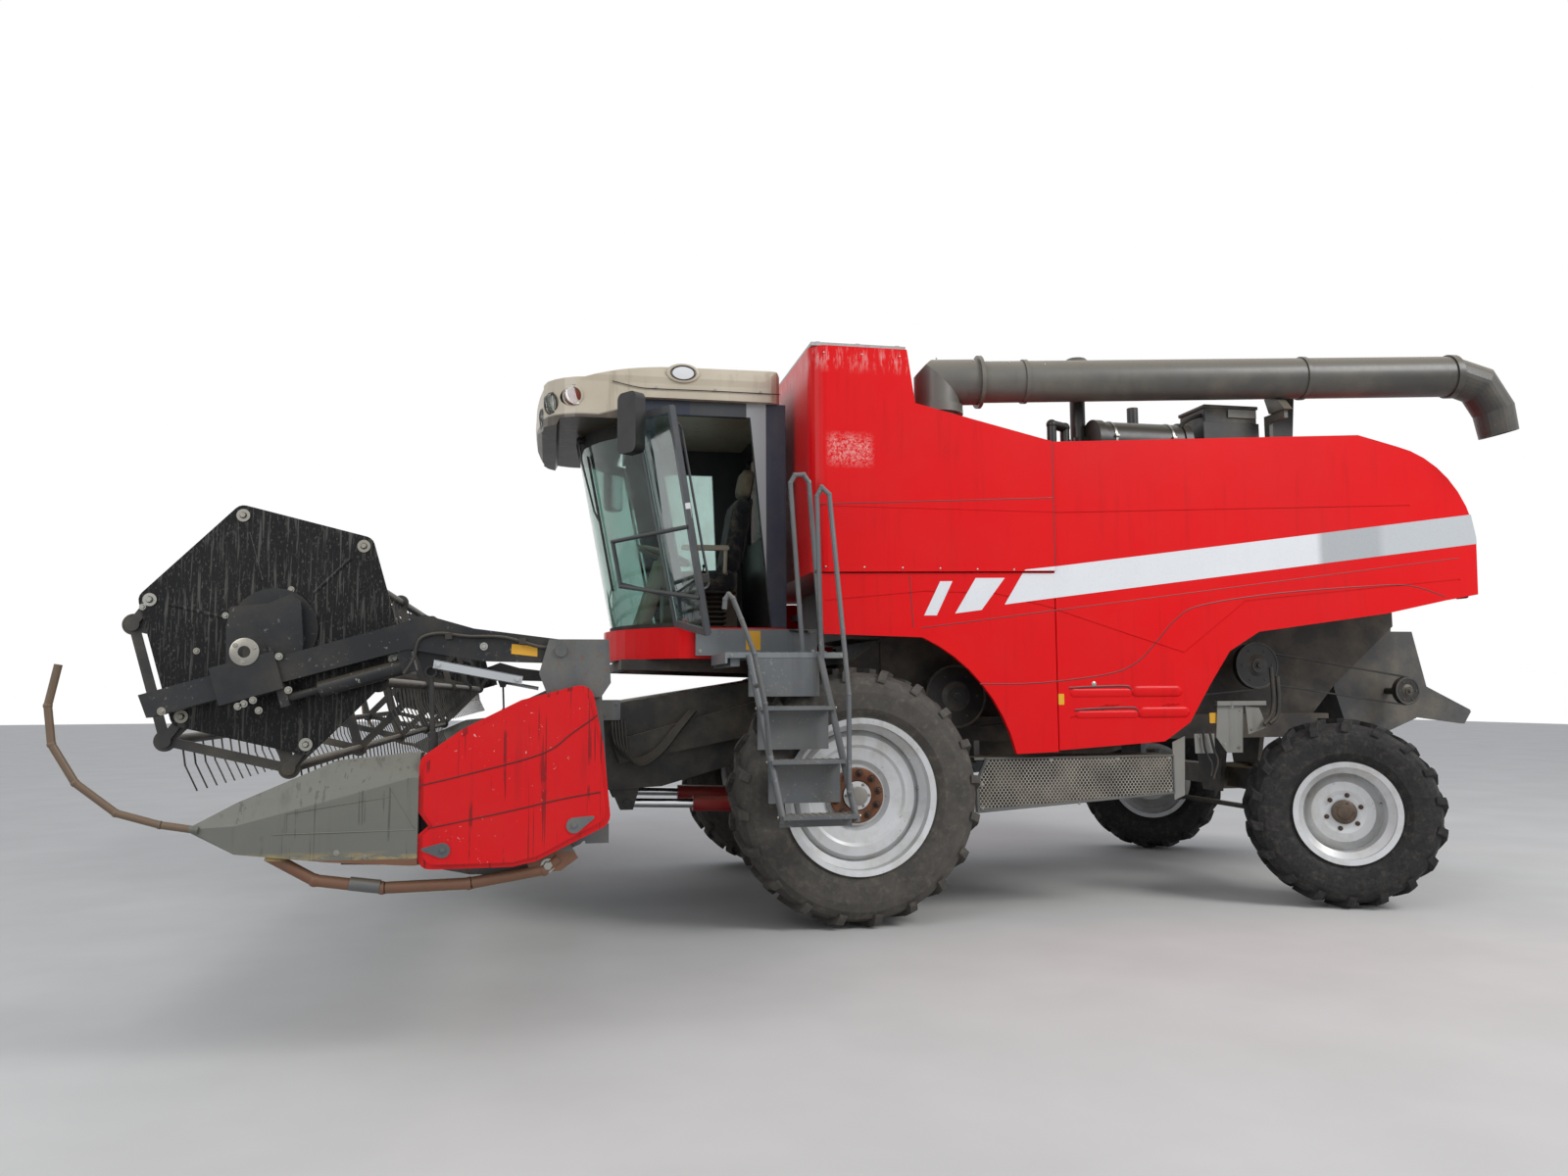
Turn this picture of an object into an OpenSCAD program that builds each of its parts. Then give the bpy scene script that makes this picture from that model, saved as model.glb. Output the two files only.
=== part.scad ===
// Combine harvester with grain header, at full size in millimetres.
// Forward is -X, the machine's left is -Y and up is +Z. Lengths along X are given from the front
// axle; the whole machine is then placed so that the origin lies under the middle of its outline.

/* [Wheels] */
// Rolling radius of the front tyres over the lugs
front_tyre_r = 840; // [800:5:860]
// Section width of the front tyres
front_tyre_w = 467; // [430:1:500]
// Radius of the front rim flanges
front_rim_r = 508; // [480:1:520]
// Distance from the centre plane to the middle of a front tyre
front_track = 1370; // [1350:5:1400]
// Lugs on each half of a front tyre
front_lugs = 20; // [16:1:22]
// Rolling radius of the rear tyres over the lugs
rear_tyre_r = 655; // [620:5:680]
// Section width of the rear tyres
rear_tyre_w = 378; // [340:1:400]
// Radius of the rear rim flanges
rear_rim_r = 356; // [340:1:380]
// Lugs on each half of a rear tyre
rear_lugs = 18; // [14:1:20]
// Height of the tyre lugs
lug_h = 38; // [25:1:42]
// Distance between the front and the rear axle
wheelbase = 3650; // [3600:10:3700]
// Distance from the centre plane to a rear kingpin
kingpin_y = 1290; // [1270:5:1310]
// Distance from the kingpin to the middle of the rear tyre
rear_offset = 290; // [280:5:300]
// Angle of the steered rear wheels, as parked
steer_angle = 25; // [0:1:30]
// Length of the steering arms
steer_arm = 250; // [220:5:270]

/* [Body] */
// Distance from the centre plane to the outside of the side panels
body_half = 1450; // [1440:5:1470]
// Thickness of the side panels
panel_t = 35; // [20:1:40]
// Gap between neighbouring panels
panel_gap = 8; // [4:1:12]
// Half width of the threshing body between the panels
core_half = 720; // [680:5:740]
// Height of the top of the grain tank
tank_top = 3850; // [3800:5:3900]
// Height of the seam between the tank and the lower panels
tank_bottom = 2310; // [2290:5:2330]
// Thickness of the tank walls
tank_wall = 30; // [20:1:40]
// Lowest edge of the panels behind the front wheels
skirt_low = 1090; // [1060:5:1120]
// Thickness of the lid over the tank's mouth
lid_t = 24; // [15:1:30]

/* [Unloading tube] */
// Outer radius of the unloading tube
tube_r = 148; // [130:1:160]
// Place of the swing axis behind the front axle
tube_x = 700; // [680:5:720]
// Distance of the swing axis from the centre plane
tube_y = 1170; // [1150:5:1190]
// Height of the tube's middle at the elbow
tube_z = 3715; // [3690:5:3740]
// Length from the swing axis to the start of the spout
tube_len = 3880; // [3700:10:3950]
// Angle by which the folded tube points away from the body
tube_splay = 7; // [5:0.5:9]
// Upward slope of the tube
tube_rise = 1.6; // [0.5:0.1:2.5]

/* [Cab] */
// Height of the cab floor
cab_floor = 1965; // [1940:5:1980]
// Distance from the centre plane to the cab's left side
cab_left = 1000; // [980:5:1010]
// Distance from the centre plane to the cab's right side
cab_right = 700; // [650:5:760]
// Height of the top of the side walls
cab_top = 3545; // [3500:5:3560]
// Place of the front pillar's foot ahead of the front axle
pillar_x = 1125; // [1110:5:1140]
// Forward lean of the front pillars in degrees
pillar_lean = 10.8; // [10:0.1:11.5]
// Place of the cab's rear wall ahead of the front axle
cab_rear = 370; // [360:5:400]
// Thickness of the cab's posts and of the door
cab_wall = 50; // [40:1:60]
// Thickness of the window glass
glass_t = 8; // [5:0.5:12]
// Angle at which the cab door stands open
door_open = 79; // [40:1:82]

/* [Header] */
// Distance from the centre plane to the outside of the header's end sheets
header_half = 3810; // [3700:10:3850]
// Place of the header's back sheet ahead of the front axle
header_back = 1840; // [1820:5:1860]
// Place of the knife ahead of the front axle
knife_x = 2840; // [2800:5:2860]
// Height of the knife in the raised position
knife_z = 850; // [830:5:870]
// Radius of the auger's flights
auger_r = 295; // [270:5:300]
// Radius of the auger's drum
drum_r = 150; // [130:5:170]
// Distance between two turns of the auger's flight
auger_pitch = 520; // [420:10:600]
// Radius of the circle of the reel's bats
bat_circle = 500; // [480:5:510]
// Sideways offset of the control plates from the reel shaft
plate_offset_x = 70; // [0:5:80]
// Upward offset of the control plates from the reel shaft
plate_offset_z = 100; // [0:5:105]
// Length of the reel tines
tine_len = 235; // [200:5:250]
// Distance between two tines on a bat
tine_pitch = 152; // [140:2:220]
// Distance between two knife guards
guard_pitch = 152; // [76.2:0.1:160]

/* [Hidden] */
$fn = 48;

// Clearance where two pieces seat on each other
seat_gap = 0.3;
// Radial clearance of a running fit
run_fit = 0.05;
// Foremost and rearmost points of the outline, from the front axle
front_tip = -3915;
rear_tip = 5420;
// Place of the front axle on the machine's own X axis
front_axle_x = -(front_tip + rear_tip) / 2;

/* General shapes */

// Everything is drawn from the front axle and moved to its place
module placed() translate([front_axle_x, 0, 0]) children();
// A shape on the left and its mirror image on the right
module both() {
  children();
  mirror([0, 1, 0]) children();
}
// An outline in X and Z, as thick as from y0 to y1
module side(y0, y1) translate([0, y1, 0]) rotate([90, 0, 0]) linear_extrude(y1 - y0) children();
// An outline in Y and Z, as thick as from x0 to x1
module cross(x0, x1) translate([x0, 0, 0]) rotate([90, 0, 90]) linear_extrude(x1 - x0) children();
// An outline in X and Y, as thick as from z0 to z1
module plan(z0, z1) translate([0, 0, z0]) linear_extrude(z1 - z0) children();
// A box between two corners
module block(p, q) translate(p) cube(q - p);
// A round bar from p to q, turned about itself by an angle
module bar(p, q, r, turn = 0) {
  d = q - p;
  translate(p) rotate([0, acos(d.z / norm(d)), atan2(d.y, d.x)]) rotate([0, 0, turn])
    cylinder(r = r, h = norm(d));
}
// A round bar that follows points, with ball corners a little thicker than the bar
module rail(points, r) {
  for (i = [0 : len(points) - 2]) bar(points[i], points[i + 1], r);
  for (i = [1 : len(points) - 2]) translate(points[i]) sphere(r = r * 1.12);
}
// A cylinder along Y
module axle(x, y0, y1, z, r) translate([x, y1, z]) rotate([90, 0, 0]) cylinder(r = r, h = y1 - y0);
// Points of an arc round c
function arc(c, r, a0, a1, n) =
  [for (i = [0 : n]) c + r * [cos(a0 + (a1 - a0) * i / n), sin(a0 + (a1 - a0) * i / n)]];
// A rectangle with round corners
function rounded(p, q, r, n = 4) = concat(
  arc([q.x - r, q.y - r], r, 0, 90, n), arc([p.x + r, q.y - r], r, 90, 180, n),
  arc([p.x + r, p.y + r], r, 180, 270, n), arc([q.x - r, p.y + r], r, 270, 360, n));
// A point turned by an angle in a plane
function turned(p, a) = [p.x * cos(a) - p.y * sin(a), p.x * sin(a) + p.y * cos(a)];

/* Wheels */

// Bore of the front hub and of the rear hub
front_stub_r = 70;
rear_stub_r = 45;
// Half width of the rims
front_rim_half = 205;
rear_rim_half = 160;

// Section of a rim: flange radius r, half width h, disc at height d, bore b
module rim_section(r, h, d, b) {
  bead = r - 26;
  well = r - 70;
  t = 12;
  polygon([[r, h], [r, h - 10], [bead, h - 20], [bead, d + 30], [well, d - 10],
    [well, -h * 0.45], [bead, -h * 0.55], [bead, 20 - h], [r, 10 - h], [r, -h],
    [bead - t, 8 - h], [bead - t, -h * 0.55 - 6], [well - t, -h * 0.45 - 4],
    [well - t, d - 4], [bead - t, d + 34], [bead - t, h - 8]]);
}

// Front rim: stepped dish, raised bolt ring, hub cap
module front_rim() {
  well = front_rim_r - 70;
  rotate_extrude($fn = 96) {
    rim_section(front_rim_r, front_rim_half, 90, front_stub_r);
    polygon([[well - 8, 20], [well - 8, 44], [390, 96], [330, 96], [310, 82], [230, 70],
      [200, 40], [front_stub_r + run_fit, 40], [front_stub_r + run_fit, -60], [110, -60],
      [115, 20], [210, 20], [240, 50], [316, 62], [336, 76], [384, 76]]);
    polygon([[front_stub_r + run_fit, 39], [172, 39], [172, 78], [120, 78], [112, 60],
      [front_stub_r + run_fit, 60]]);
  }
  translate([0, 0, 59]) cylinder(r = 92, h = 40);
  translate([0, 0, 98]) cylinder(r = 62, h = 42);
}

// Rear rim: deep dish with its hub standing out
module rear_rim() {
  well = rear_rim_r - 70;
  rotate_extrude($fn = 96) {
    rim_section(rear_rim_r, rear_rim_half, 90, rear_stub_r);
    polygon([[well - 8, -50], [well - 8, -30], [250, -10], [210, 30], [150, 36], [120, 30],
      [rear_stub_r + run_fit, 30], [rear_stub_r + run_fit, -80], [85, -80], [95, 10],
      [150, 16], [200, 10], [240, -30]]);
    polygon([[rear_stub_r + run_fit, 29], [70, 29], [60, 52], [rear_stub_r + run_fit, 52]]);
  }
  translate([0, 0, 38]) cylinder(r = 55, h = 13);
}

// Section of a tyre without its lugs
module tyre_section(r, w, rim, half) {
  bead = rim - 26 + seat_gap;
  crown = r - lug_h;
  polygon([[bead, half - 23], [rim + 12, half - 19], [rim + 60, w * 0.47],
    [(rim + crown) / 2 + 20, w / 2], [crown - 75, w * 0.49], [crown - 30, w * 0.44],
    [crown, w * 0.30], [crown + 4, 0], [crown, -w * 0.30], [crown - 30, -w * 0.44],
    [crown - 75, -w * 0.49], [(rim + crown) / 2 + 20, -w / 2], [rim + 60, -w * 0.47],
    [rim + 12, 19 - half], [bead, 23 - half]]);
}

// Section that the lugs fill: crown and shoulders
module lug_envelope(r, w) polygon([[r - 130, w / 2], [r - 75, w * 0.497], [r - 26, w * 0.46],
  [r - 4, w * 0.30], [r, 0], [r - 4, -w * 0.30], [r - 26, -w * 0.46], [r - 75, -w * 0.497],
  [r - 130, -w / 2]]);

// Open-centre field tyre: two rows of slanting lugs, half a step apart
module field_tyre(r, w, rim, half, lugs) {
  rotate_extrude($fn = 80) tyre_section(r, w, rim, half);
  intersection() {
    rotate_extrude($fn = 80) lug_envelope(r, w);
    for (half = [0, 1], i = [0 : lugs - 1])
      rotate([0, 0, (i + half / 2) * 360 / lugs]) mirror([0, 0, half])
        translate([r - lug_h - 60, 0, 0]) rotate([0, 90, 0])
          linear_extrude(lug_h + 90)
            polygon([[12, -34], [12, 10], [-w * 0.25, 86], [-w * 0.52, 132],
              [-w * 0.52, 80], [-w * 0.25, 40]]);
  }
}

// Left and right wheels, from the same shapes
module front_wheel_place(s) translate([0, s * front_track, front_tyre_r])
  rotate([s < 0 ? 90 : -90, 0, 0]) children();
// The parked angle turns both rear wheels about their kingpins
module steered(s) translate([wheelbase, s * kingpin_y, rear_tyre_r])
  rotate([0, 0, -steer_angle]) children();
module rear_wheel_place(s) steered(s) translate([0, s * rear_offset, 0])
  rotate([s < 0 ? 90 : -90, 0, 0]) children();

module rim_front_left() color("silver") placed() front_wheel_place(-1) front_rim();
module rim_front_right() color("silver") placed() front_wheel_place(1) front_rim();
module tyre_front_left() color("#2b2a28") placed() front_wheel_place(-1)
  field_tyre(front_tyre_r, front_tyre_w, front_rim_r, front_rim_half, front_lugs);
module tyre_front_right() color("#2b2a28") placed() front_wheel_place(1)
  field_tyre(front_tyre_r, front_tyre_w, front_rim_r, front_rim_half, front_lugs);
module rim_rear_left() color("silver") placed() rear_wheel_place(-1) rear_rim();
module rim_rear_right() color("silver") placed() rear_wheel_place(1) rear_rim();
module tyre_rear_left() color("#2b2a28") placed() rear_wheel_place(-1)
  field_tyre(rear_tyre_r, rear_tyre_w, rear_rim_r, rear_rim_half, rear_lugs);
module tyre_rear_right() color("#2b2a28") placed() rear_wheel_place(1)
  field_tyre(rear_tyre_r, rear_tyre_w, rear_rim_r, rear_rim_half, rear_lugs);

/* Axles and steering */

// Height of the rear beam, the kingpins' radius and the ball pins' radius
beam_z = 800;
kingpin_r = 32;
ball_pin_r = 14;
// Height of the steering arms
arm_z = 560;
// Towing jaw behind the rear axle: place, height and radius of its pin hole
jaw_x = 280;
jaw_z = 700;
jaw_pin_r = 16;

// Front axle: beam, final drives, stub axles and the feet of the lift cylinders
module front_axle() color("#3a3a3c") placed() {
  block([-130, -1040, front_tyre_r - 120], [130, 1040, front_tyre_r + 120]);
  both() {
    axle(0, -1100, -930, front_tyre_r, 215);
    block([-120, -1090, front_tyre_r + 60], [240, -960, front_tyre_r + 300]);
    axle(0, -1305, -1099, front_tyre_r, 105);
    axle(0, -1436 + 60, -1304, front_tyre_r, front_stub_r);
    difference() {
      block([-235, -lift_y - 60, lift_foot.y - 50], [-129, -lift_y + 60, lift_foot.y + 60]);
      block([-236, -lift_y - 28, lift_foot.y - 51], [-130.5, -lift_y + 28, lift_foot.y + 61]);
      axle(lift_foot.x, -lift_y - 61, -lift_y + 61, lift_foot.y, pin_r + run_fit);
    }
    block([-100, -820, front_tyre_r + 119], [100, -660, 1150 - seat_gap]);
  }
}

// Rear axle: beam on its pivot, forked ends for the kingpins
module rear_axle() color("#3a3a3c") placed() translate([wheelbase, 0, 0]) {
  difference() {
    union() {
      block([-80, -1200, beam_z - 80], [80, 1200, beam_z + 80]);
      both() {
        translate([0, -kingpin_y, beam_z - 100]) cylinder(r = 75, h = 200);
        block([-60, -kingpin_y, beam_z - 60], [60, -1190, beam_z + 60]);
      }
      translate([0, 0, beam_z]) rotate([0, 90, 0]) translate([0, 0, -140])
        cylinder(r = 110, h = 280);
    }
    both() translate([0, -kingpin_y, beam_z - 101]) cylinder(r = kingpin_r + run_fit, h = 202);
  }
  for (x = [-185, 145]) cross(x, x + 40) polygon([[-120, beam_z - 120], [120, beam_z - 120],
    [260, axle_seat - seat_gap], [-260, axle_seat - seat_gap]]);
  // Towing jaw with its upright pin hole
  difference() {
    union() {
      block([184, -70, jaw_z - 60], [205, 70, jaw_z + 60]);
      for (z = [jaw_z - 60, jaw_z + 35]) block([184, -70, z], [jaw_x + 50, 70, z + 25]);
    }
    translate([jaw_x, 0, jaw_z - 61]) cylinder(r = jaw_pin_r, h = 122);
  }
  translate([-185, 0, beam_z]) rotate([0, 90, 0]) cylinder(r = 45, h = 370);
}
// Underside of the body over the rear axle
axle_seat = 1290;

// Steering knuckle: kingpin, neck, stub axle and steering arm
module knuckle(s) steered(s) {
  dz = beam_z - rear_tyre_r;
  translate([0, 0, dz - 160]) cylinder(r = kingpin_r, h = 320);
  translate([0, 0, dz + 100 + seat_gap]) cylinder(r = 70, h = 60);
  difference() {
    union() {
      translate([0, 0, dz - 260]) cylinder(r = 78, h = 160 - seat_gap);
      translate([0, 0, arm_z - rear_tyre_r]) linear_extrude(40)
        polygon([[-50, -60], [-50, 60], [steer_arm, 40], [steer_arm + 30, 0],
          [steer_arm, -40]]);
    }
    translate([steer_arm, 0, arm_z - rear_tyre_r - 1])
      cylinder(r = ball_pin_r + run_fit, h = 42);
  }
  axle(0, s < 0 ? -rear_offset - 28 : 0, s < 0 ? 0 : rear_offset + 28, 0, rear_stub_r);
  axle(0, s < 0 ? -195 : 82, s < 0 ? -82 : 195, 0, 75);
}
module knuckle_left() color("#3a3a3c") placed() knuckle(-1);
module knuckle_right() color("#3a3a3c") placed() knuckle(1);

// Tie rod between the two steering arms
module tie_rod() color("#3a3a3c") placed() {
  a = turned([steer_arm, 0], -steer_angle);
  p = [wheelbase + a.x, a.y, arm_z - 40];
  bar(p - [0, kingpin_y, 0], p + [0, kingpin_y, 0], 22);
  for (s = [-1, 1]) translate(p + [0, s * kingpin_y, 0]) {
    translate([0, 0, -30]) cylinder(r = 34, h = 60);
    cylinder(r = ball_pin_r, h = 95);
  }
}

/* Body */

// Outline of the side panels as seen from the left, with named corners
seam_x = 1440;
hood_top = 3400;
rear_low = 2190;
arch_r = 1120;
front_arch = [0, 820];
rear_arch = [wheelbase - 180, 900];
function rear_outline() = concat(
  [[seam_x, tank_slope_z(seam_x)], [3890, hood_top]],
  arc([3890 + 180, hood_top - 860], 800, 80, 8, 8),
  [[4850, rear_low + 30], [4560, rear_low - 20], [4060, 2070], [3000, 1930], [2760, 1790],
    [2600, 1560], [2430, 1290], [2230, skirt_low + 70], [seam_x, skirt_low + 20]]);
// Height of the tank's sloping edge
function tank_slope_z(x) = 3480 - (x - 440) * 0.225;
// Height of the tank's underside
function tank_low_z(x) = tank_bottom + (x + 290) * 30 / (seam_x + 290);
tank_floor_z = tank_bottom + tank_wall + 25;
// Top of the body under the engine deck
deck_foot = 2370;
function front_outline() = concat(
  [[-250, tank_low_z(-250) - panel_gap], [seam_x - panel_gap, tank_low_z(seam_x) - panel_gap],
    [seam_x - panel_gap, skirt_low + 10], [1130, skirt_low]],
  arc(front_arch, 1160, 14, 66, 8),
  [[-210, 1900]]);

// Threshing body with the engine's bearers and the cab's beams
module frame() color("#7d1f1d") placed() {
  difference() {
    side(-core_half, core_half)
      polygon([[390, 1100], [390, 1900], [120, 1900], [120, tank_low_z(120) - seat_gap],
        [seam_x, tank_low_z(seam_x) - seat_gap], [seam_x + 1, deck_foot], [4700, deck_foot], [4700, 2020], [4150, 1560], [3900, axle_seat],
        [3200, axle_seat], [2700, 1180], [2000, 1000], [900, 1000]]);
    side(-core_half + 60, core_half - 60)
      polygon([[4200, 2300], [4750, 2300], [4750, 2100], [4200, 1700]]);
  }
  both() {
    side(-820, -core_half) polygon([[-300, 1150], [-300, 1330], [4000, 1330], [4000, axle_seat],
      [3900, axle_seat], [3900, 1150]]);
    side(-820, -core_half) polygon([[-1500, 1750 - seat_gap], [-1500, 1680], [-300, 1640],
      [-300, 1329], [-180, 1329], [-180, 1750 - seat_gap]]);
    // Ears of the feeder house's hinge pin
    side(-feeder_ear_y, 55 - feeder_ear_y) polygon([[60, 1500], [60, 1660], [400, 1890],
      [400, 1300]]);
    // Cross members that carry the side panels
    for (x = [200, 1300, 2300, 3400]) block([x - 30, panel_y0, 2150], [x + 30, 1 - core_half, 2210]);
    for (x = [200, 1250]) block([x - 30, panel_y0, 1990], [x + 30, 1 - core_half, 2050]);
  }
  axle(feeder_pivot.x, 1 - feeder_ear_y, feeder_ear_y - 1, feeder_pivot.y, feeder_pin_r);
  // Beams across, under the cab's floor
  block([-1500, -819, 1681], [-1440, 819, 1750 - seat_gap]);
  block([-420, -819, 1700], [-360, 819, 1750 - seat_gap]);
}
feeder_ear_y = 700;
// Inner face of the side panels
panel_y0 = -body_half + panel_t + seat_gap;

// Grain tank: rounded front corners, sloping rear shoulder, open top
module grain_tank() color("#c0201d") placed() {
  tank_shell();
  // Hinge ears and pins of the lid
  for (x = lid_hinge_x) {
    lid_pin(x, 54, lid_pin_r);
    for (s = [-1, 1]) block([x + s * 48 - 7, body_half - 20, tank_top - 1],
      [x + s * 48 + 7, body_half + 12, tank_top + 24]);
  }
}
module tank_shell() difference() {
  intersection() {
    side(-body_half - 20, body_half + 20)
      polygon([[-290, tank_bottom], [-290, tank_top], [385, tank_top], [440, 3480],
        [seam_x - panel_gap, tank_slope_z(seam_x)],
        [seam_x - panel_gap, tank_low_z(seam_x - panel_gap)]]);
    plan(tank_bottom - 1, tank_top + 1)
      polygon(rounded([-290, -body_half - 20], [seam_x + 400, body_half + 20], 110, 6));
  }
  // Room inside, from the mouth down to the hopper floor
  side(-body_half + tank_wall, body_half - tank_wall)
    polygon([[-290 + tank_wall, tank_floor_z], [-290 + tank_wall, tank_top + 1],
      [385 - tank_wall, tank_top + 1], [440 - tank_wall, 3450],
      [seam_x - 60, tank_slope_z(seam_x) - 30], [seam_x - 60, tank_bottom + 280],
      [seam_x - 460, tank_floor_z]]);
  // Pressed seam round the sides
  for (s = [-1, 1]) block([-400, s > 0 ? body_half + 16 : -body_half - 30, 2748],
    [seam_x + 50, s > 0 ? body_half + 30 : -body_half - 16, 2754]);
  // Passage of the unloading tube
  translate([tube_x, -tube_y, tank_slope_z(tube_x) - 200]) cylinder(r = tube_r + 22, h = 400);
}

// Flat lid over the tank's mouth, hinged along its right edge
lid_hinge = [body_half - 3, tank_top + 14];
lid_hinge_x = [-180, 280];
module tank_lid() color("#b9b9b4") placed() difference() {
  union() {
    block([-284, -body_half - 5, tank_top + seat_gap], [380, body_half - 35, tank_top + lid_t]);
    for (x = [-230, 50, 330]) block([x - 15, -body_half + 20, tank_top + lid_t - 1],
      [x + 15, body_half - 60, tank_top + lid_t + 12]);
    for (x = lid_hinge_x) {
      block([x - 38, body_half - 36, tank_top + 2], [x + 38, lid_hinge.x, tank_top + lid_t]);
      lid_pin(x, 38, 13);
    }
  }
  for (x = lid_hinge_x) lid_pin(x, 39, lid_pin_r + run_fit);
}
lid_pin_r = 5;
// A round piece on the lid's hinge line, as long as h to both sides of x
module lid_pin(x, h, r) translate([x - h, lid_hinge.x, lid_hinge.y]) rotate([0, 90, 0])
  cylinder(r = r, h = 2 * h);

// Side panels: front and rear, left and right, with pressed lines and louvres
module side_panels() color("#c0201d") placed() both() {
  difference() {
    side(-body_half, -body_half + panel_t) polygon(front_outline());
    groove([[-200, 2120], [500, 2190], [1000, 2180], [seam_x, 2080]]);
  }
  difference() {
    side(-body_half, -body_half + panel_t) polygon(rear_outline());
    groove([[seam_x - 20, 2080], [2000, 1900], [2400, 1780], [2900, 2150], [4700, 2330]]);
    groove([[seam_x - 20, 2750], [4300, 2880]]);
    for (x = [1520, 1560, 1600, 1980, 2020, 2060]) translate([x, 0, 0])
      side(-body_half - 1, -body_half + 14)
        polygon([[0, 1330], [14, 1330], [300, 1420], [286, 1420]]);
  }
  // Folded edges that stiffen the panels and meet the body's cross members
  for (x = [200, 1250]) block([x - 60, -body_half + panel_t - 1, 1980],
    [x + 60, panel_y0 - seat_gap, 2215]);
}
// A pressed line in the left panel's face
module groove(points) for (i = [0 : len(points) - 2]) {
  d = points[i + 1] - points[i];
  side(-body_half - 1, -body_half + 6) translate(points[i]) rotate(atan2(d.y, d.x))
    translate([0, -4]) square([norm(d), 8]);
}

// Hood over the straw walkers and the engine deck behind the tank
module straw_hood() color("#a81c1a") placed() {
  y0 = body_half - panel_t - seat_gap;
  deck_z = 3060;
  difference() {
    side(-y0, y0) polygon(concat(
      [[seam_x + 10, deck_z - 30], [seam_x + 10, deck_z], [3380, deck_z],
        [3380, hood_top - 40], [3890, hood_top - 8]],
      arc([3890 + 180, hood_top - 860], 792, 80, 8, 8),
      [[4842, rear_low + 60], [4812, rear_low + 60]],
      arc([3890 + 180, hood_top - 860], 762, 8, 80, 8),
      [[3890, hood_top - 38], [3410, hood_top - 68], [3410, deck_z - 30]]));
    block([engine_x0 - 30, -engine_w - 30, deck_z - 60], [engine_x1 + 30, engine_w + 30, deck_z + 60]);
  }
  // Inner walls that carry the deck down to the body
  for (s = [-1, 1]) side(s * (core_half - 20) - 20, s * (core_half - 20) + 20)
    polygon([[seam_x + 10, deck_foot + seat_gap], [seam_x + 10, deck_z - 29],
      [4600, deck_z - 29], [4700, 2600], [4700, deck_foot + seat_gap]]);
}
engine_x0 = 1620;
engine_x1 = 2780;
engine_w = 420;

// The engine as one plain block, with its feet on the body
module engine_block() color("#55585a") placed() {
  block([engine_x0, -engine_w, 2480], [engine_x1, engine_w, 3180]);
  for (x = [engine_x0 + 60, engine_x1 - 160], s = [-1, 1])
    block([x, s * 330 - 50, deck_foot + seat_gap], [x + 100, s * 330 + 50, 2481]);
}

// Air cleaner, intake dome, cooler box with its grille and the silencer
module engine_fittings() color("#1c1c1e") placed() {
  deck_z = 3060;
  // Lying air cleaner with its end caps
  translate([1900, -1170, 3330]) rotate([0, 90, 0]) cylinder(r = 150, h = 700);
  for (x = [1880, 2560]) translate([x, -1170, 3330]) rotate([0, 90, 0]) cylinder(r = 162, h = 60);
  for (x = [2000, 2440]) block([x, -1270, deck_z + seat_gap], [x + 50, -1070, 3240]);
  // Intake pipe with its dome
  translate([1840, -1050, deck_z + seat_gap]) cylinder(r = 55, h = 820);
  translate([1840, -1050, 3860]) cylinder(r = 130, h = 60);
  translate([1840, -1050, 3919]) cylinder(r1 = 130, r2 = 70, h = 60);
  block([1790, -1100, 3290], [1900, -1000, 3380]);
  // Filter box with its pipe
  block([2700, -1330, deck_z + seat_gap], [3150, -960, 3480]);
  bar([2600, -1170, 3330], [2720, -1170, 3330], 60);
  // Coolant pipes ahead of the air cleaner
  rail([[1560, -1200, deck_z + seat_gap], [1560, -1200, 3440], [1700, -1120, 3440],
    [1700, -1120, deck_z + seat_gap]], 34);
  // Cooler box on the right with its screen
  difference() {
    block([1600, 700, deck_z + seat_gap], [2700, 1380, 3560]);
    block([1660, 1330, deck_z + 60], [2640, 1381, 3500]);
  }
  for (i = [0 : 9]) block([1660, 1345, deck_z + 75 + i * 44], [2640, 1365, deck_z + 95 + i * 44]);
  // Upright silencer
  translate([3000, 250, deck_z + seat_gap]) cylinder(r = 110, h = 560);
  translate([3000, 250, deck_z + 500]) cylinder(r = 48, h = 420);
}

/* Unloading tube */

elbow_r = tube_r + 14;
turn_z = tube_z - 210;
riser_z = tank_floor_z + seat_gap;
// Fixed riser of the tube, the rest bracket and the foot of the swing ring
module tube_elbow() color("#4c4c4e") placed() {
  difference() {
    translate([tube_x, -tube_y, riser_z]) cylinder(r = tube_r, h = turn_z - riser_z);
    translate([tube_x, -tube_y, riser_z - 1]) cylinder(r = tube_r - 8, h = turn_z);
  }
  difference() {
    translate([tube_x, -tube_y, turn_z - 30]) cylinder(r = tube_r + 36, h = 30);
    translate([tube_x, -tube_y, turn_z - 31]) cylinder(r = tube_r - 8, h = 32);
  }
  // Cradle that the folded tube rests in
  rest_x = 3300;
  rest_y = tube_y + (rest_x - tube_x) * tan(tube_splay);
  rest_z = tube_z + (rest_x - tube_x) * tan(tube_rise) - tube_r;
  block([rest_x - 90, -1370, 3060 + seat_gap], [rest_x - 60, -1310, rest_z - 110]);
  block([rest_x - 90, -rest_y - 60, rest_z - 160], [rest_x - 60, -1310, rest_z - 100]);
  difference() {
    cross(rest_x - 110, rest_x - 40) polygon([[-rest_y - 20, rest_z - 20],
      [-rest_y - 90, rest_z - 100], [-rest_y + 90, rest_z - 100],
      [-rest_y + 140, rest_z + 20], [-rest_y + 110, rest_z + 40]]);
    tube_axis() translate([0, 0, 1500]) cylinder(r = tube_r + 6, h = 2000);
  }
}
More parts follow.
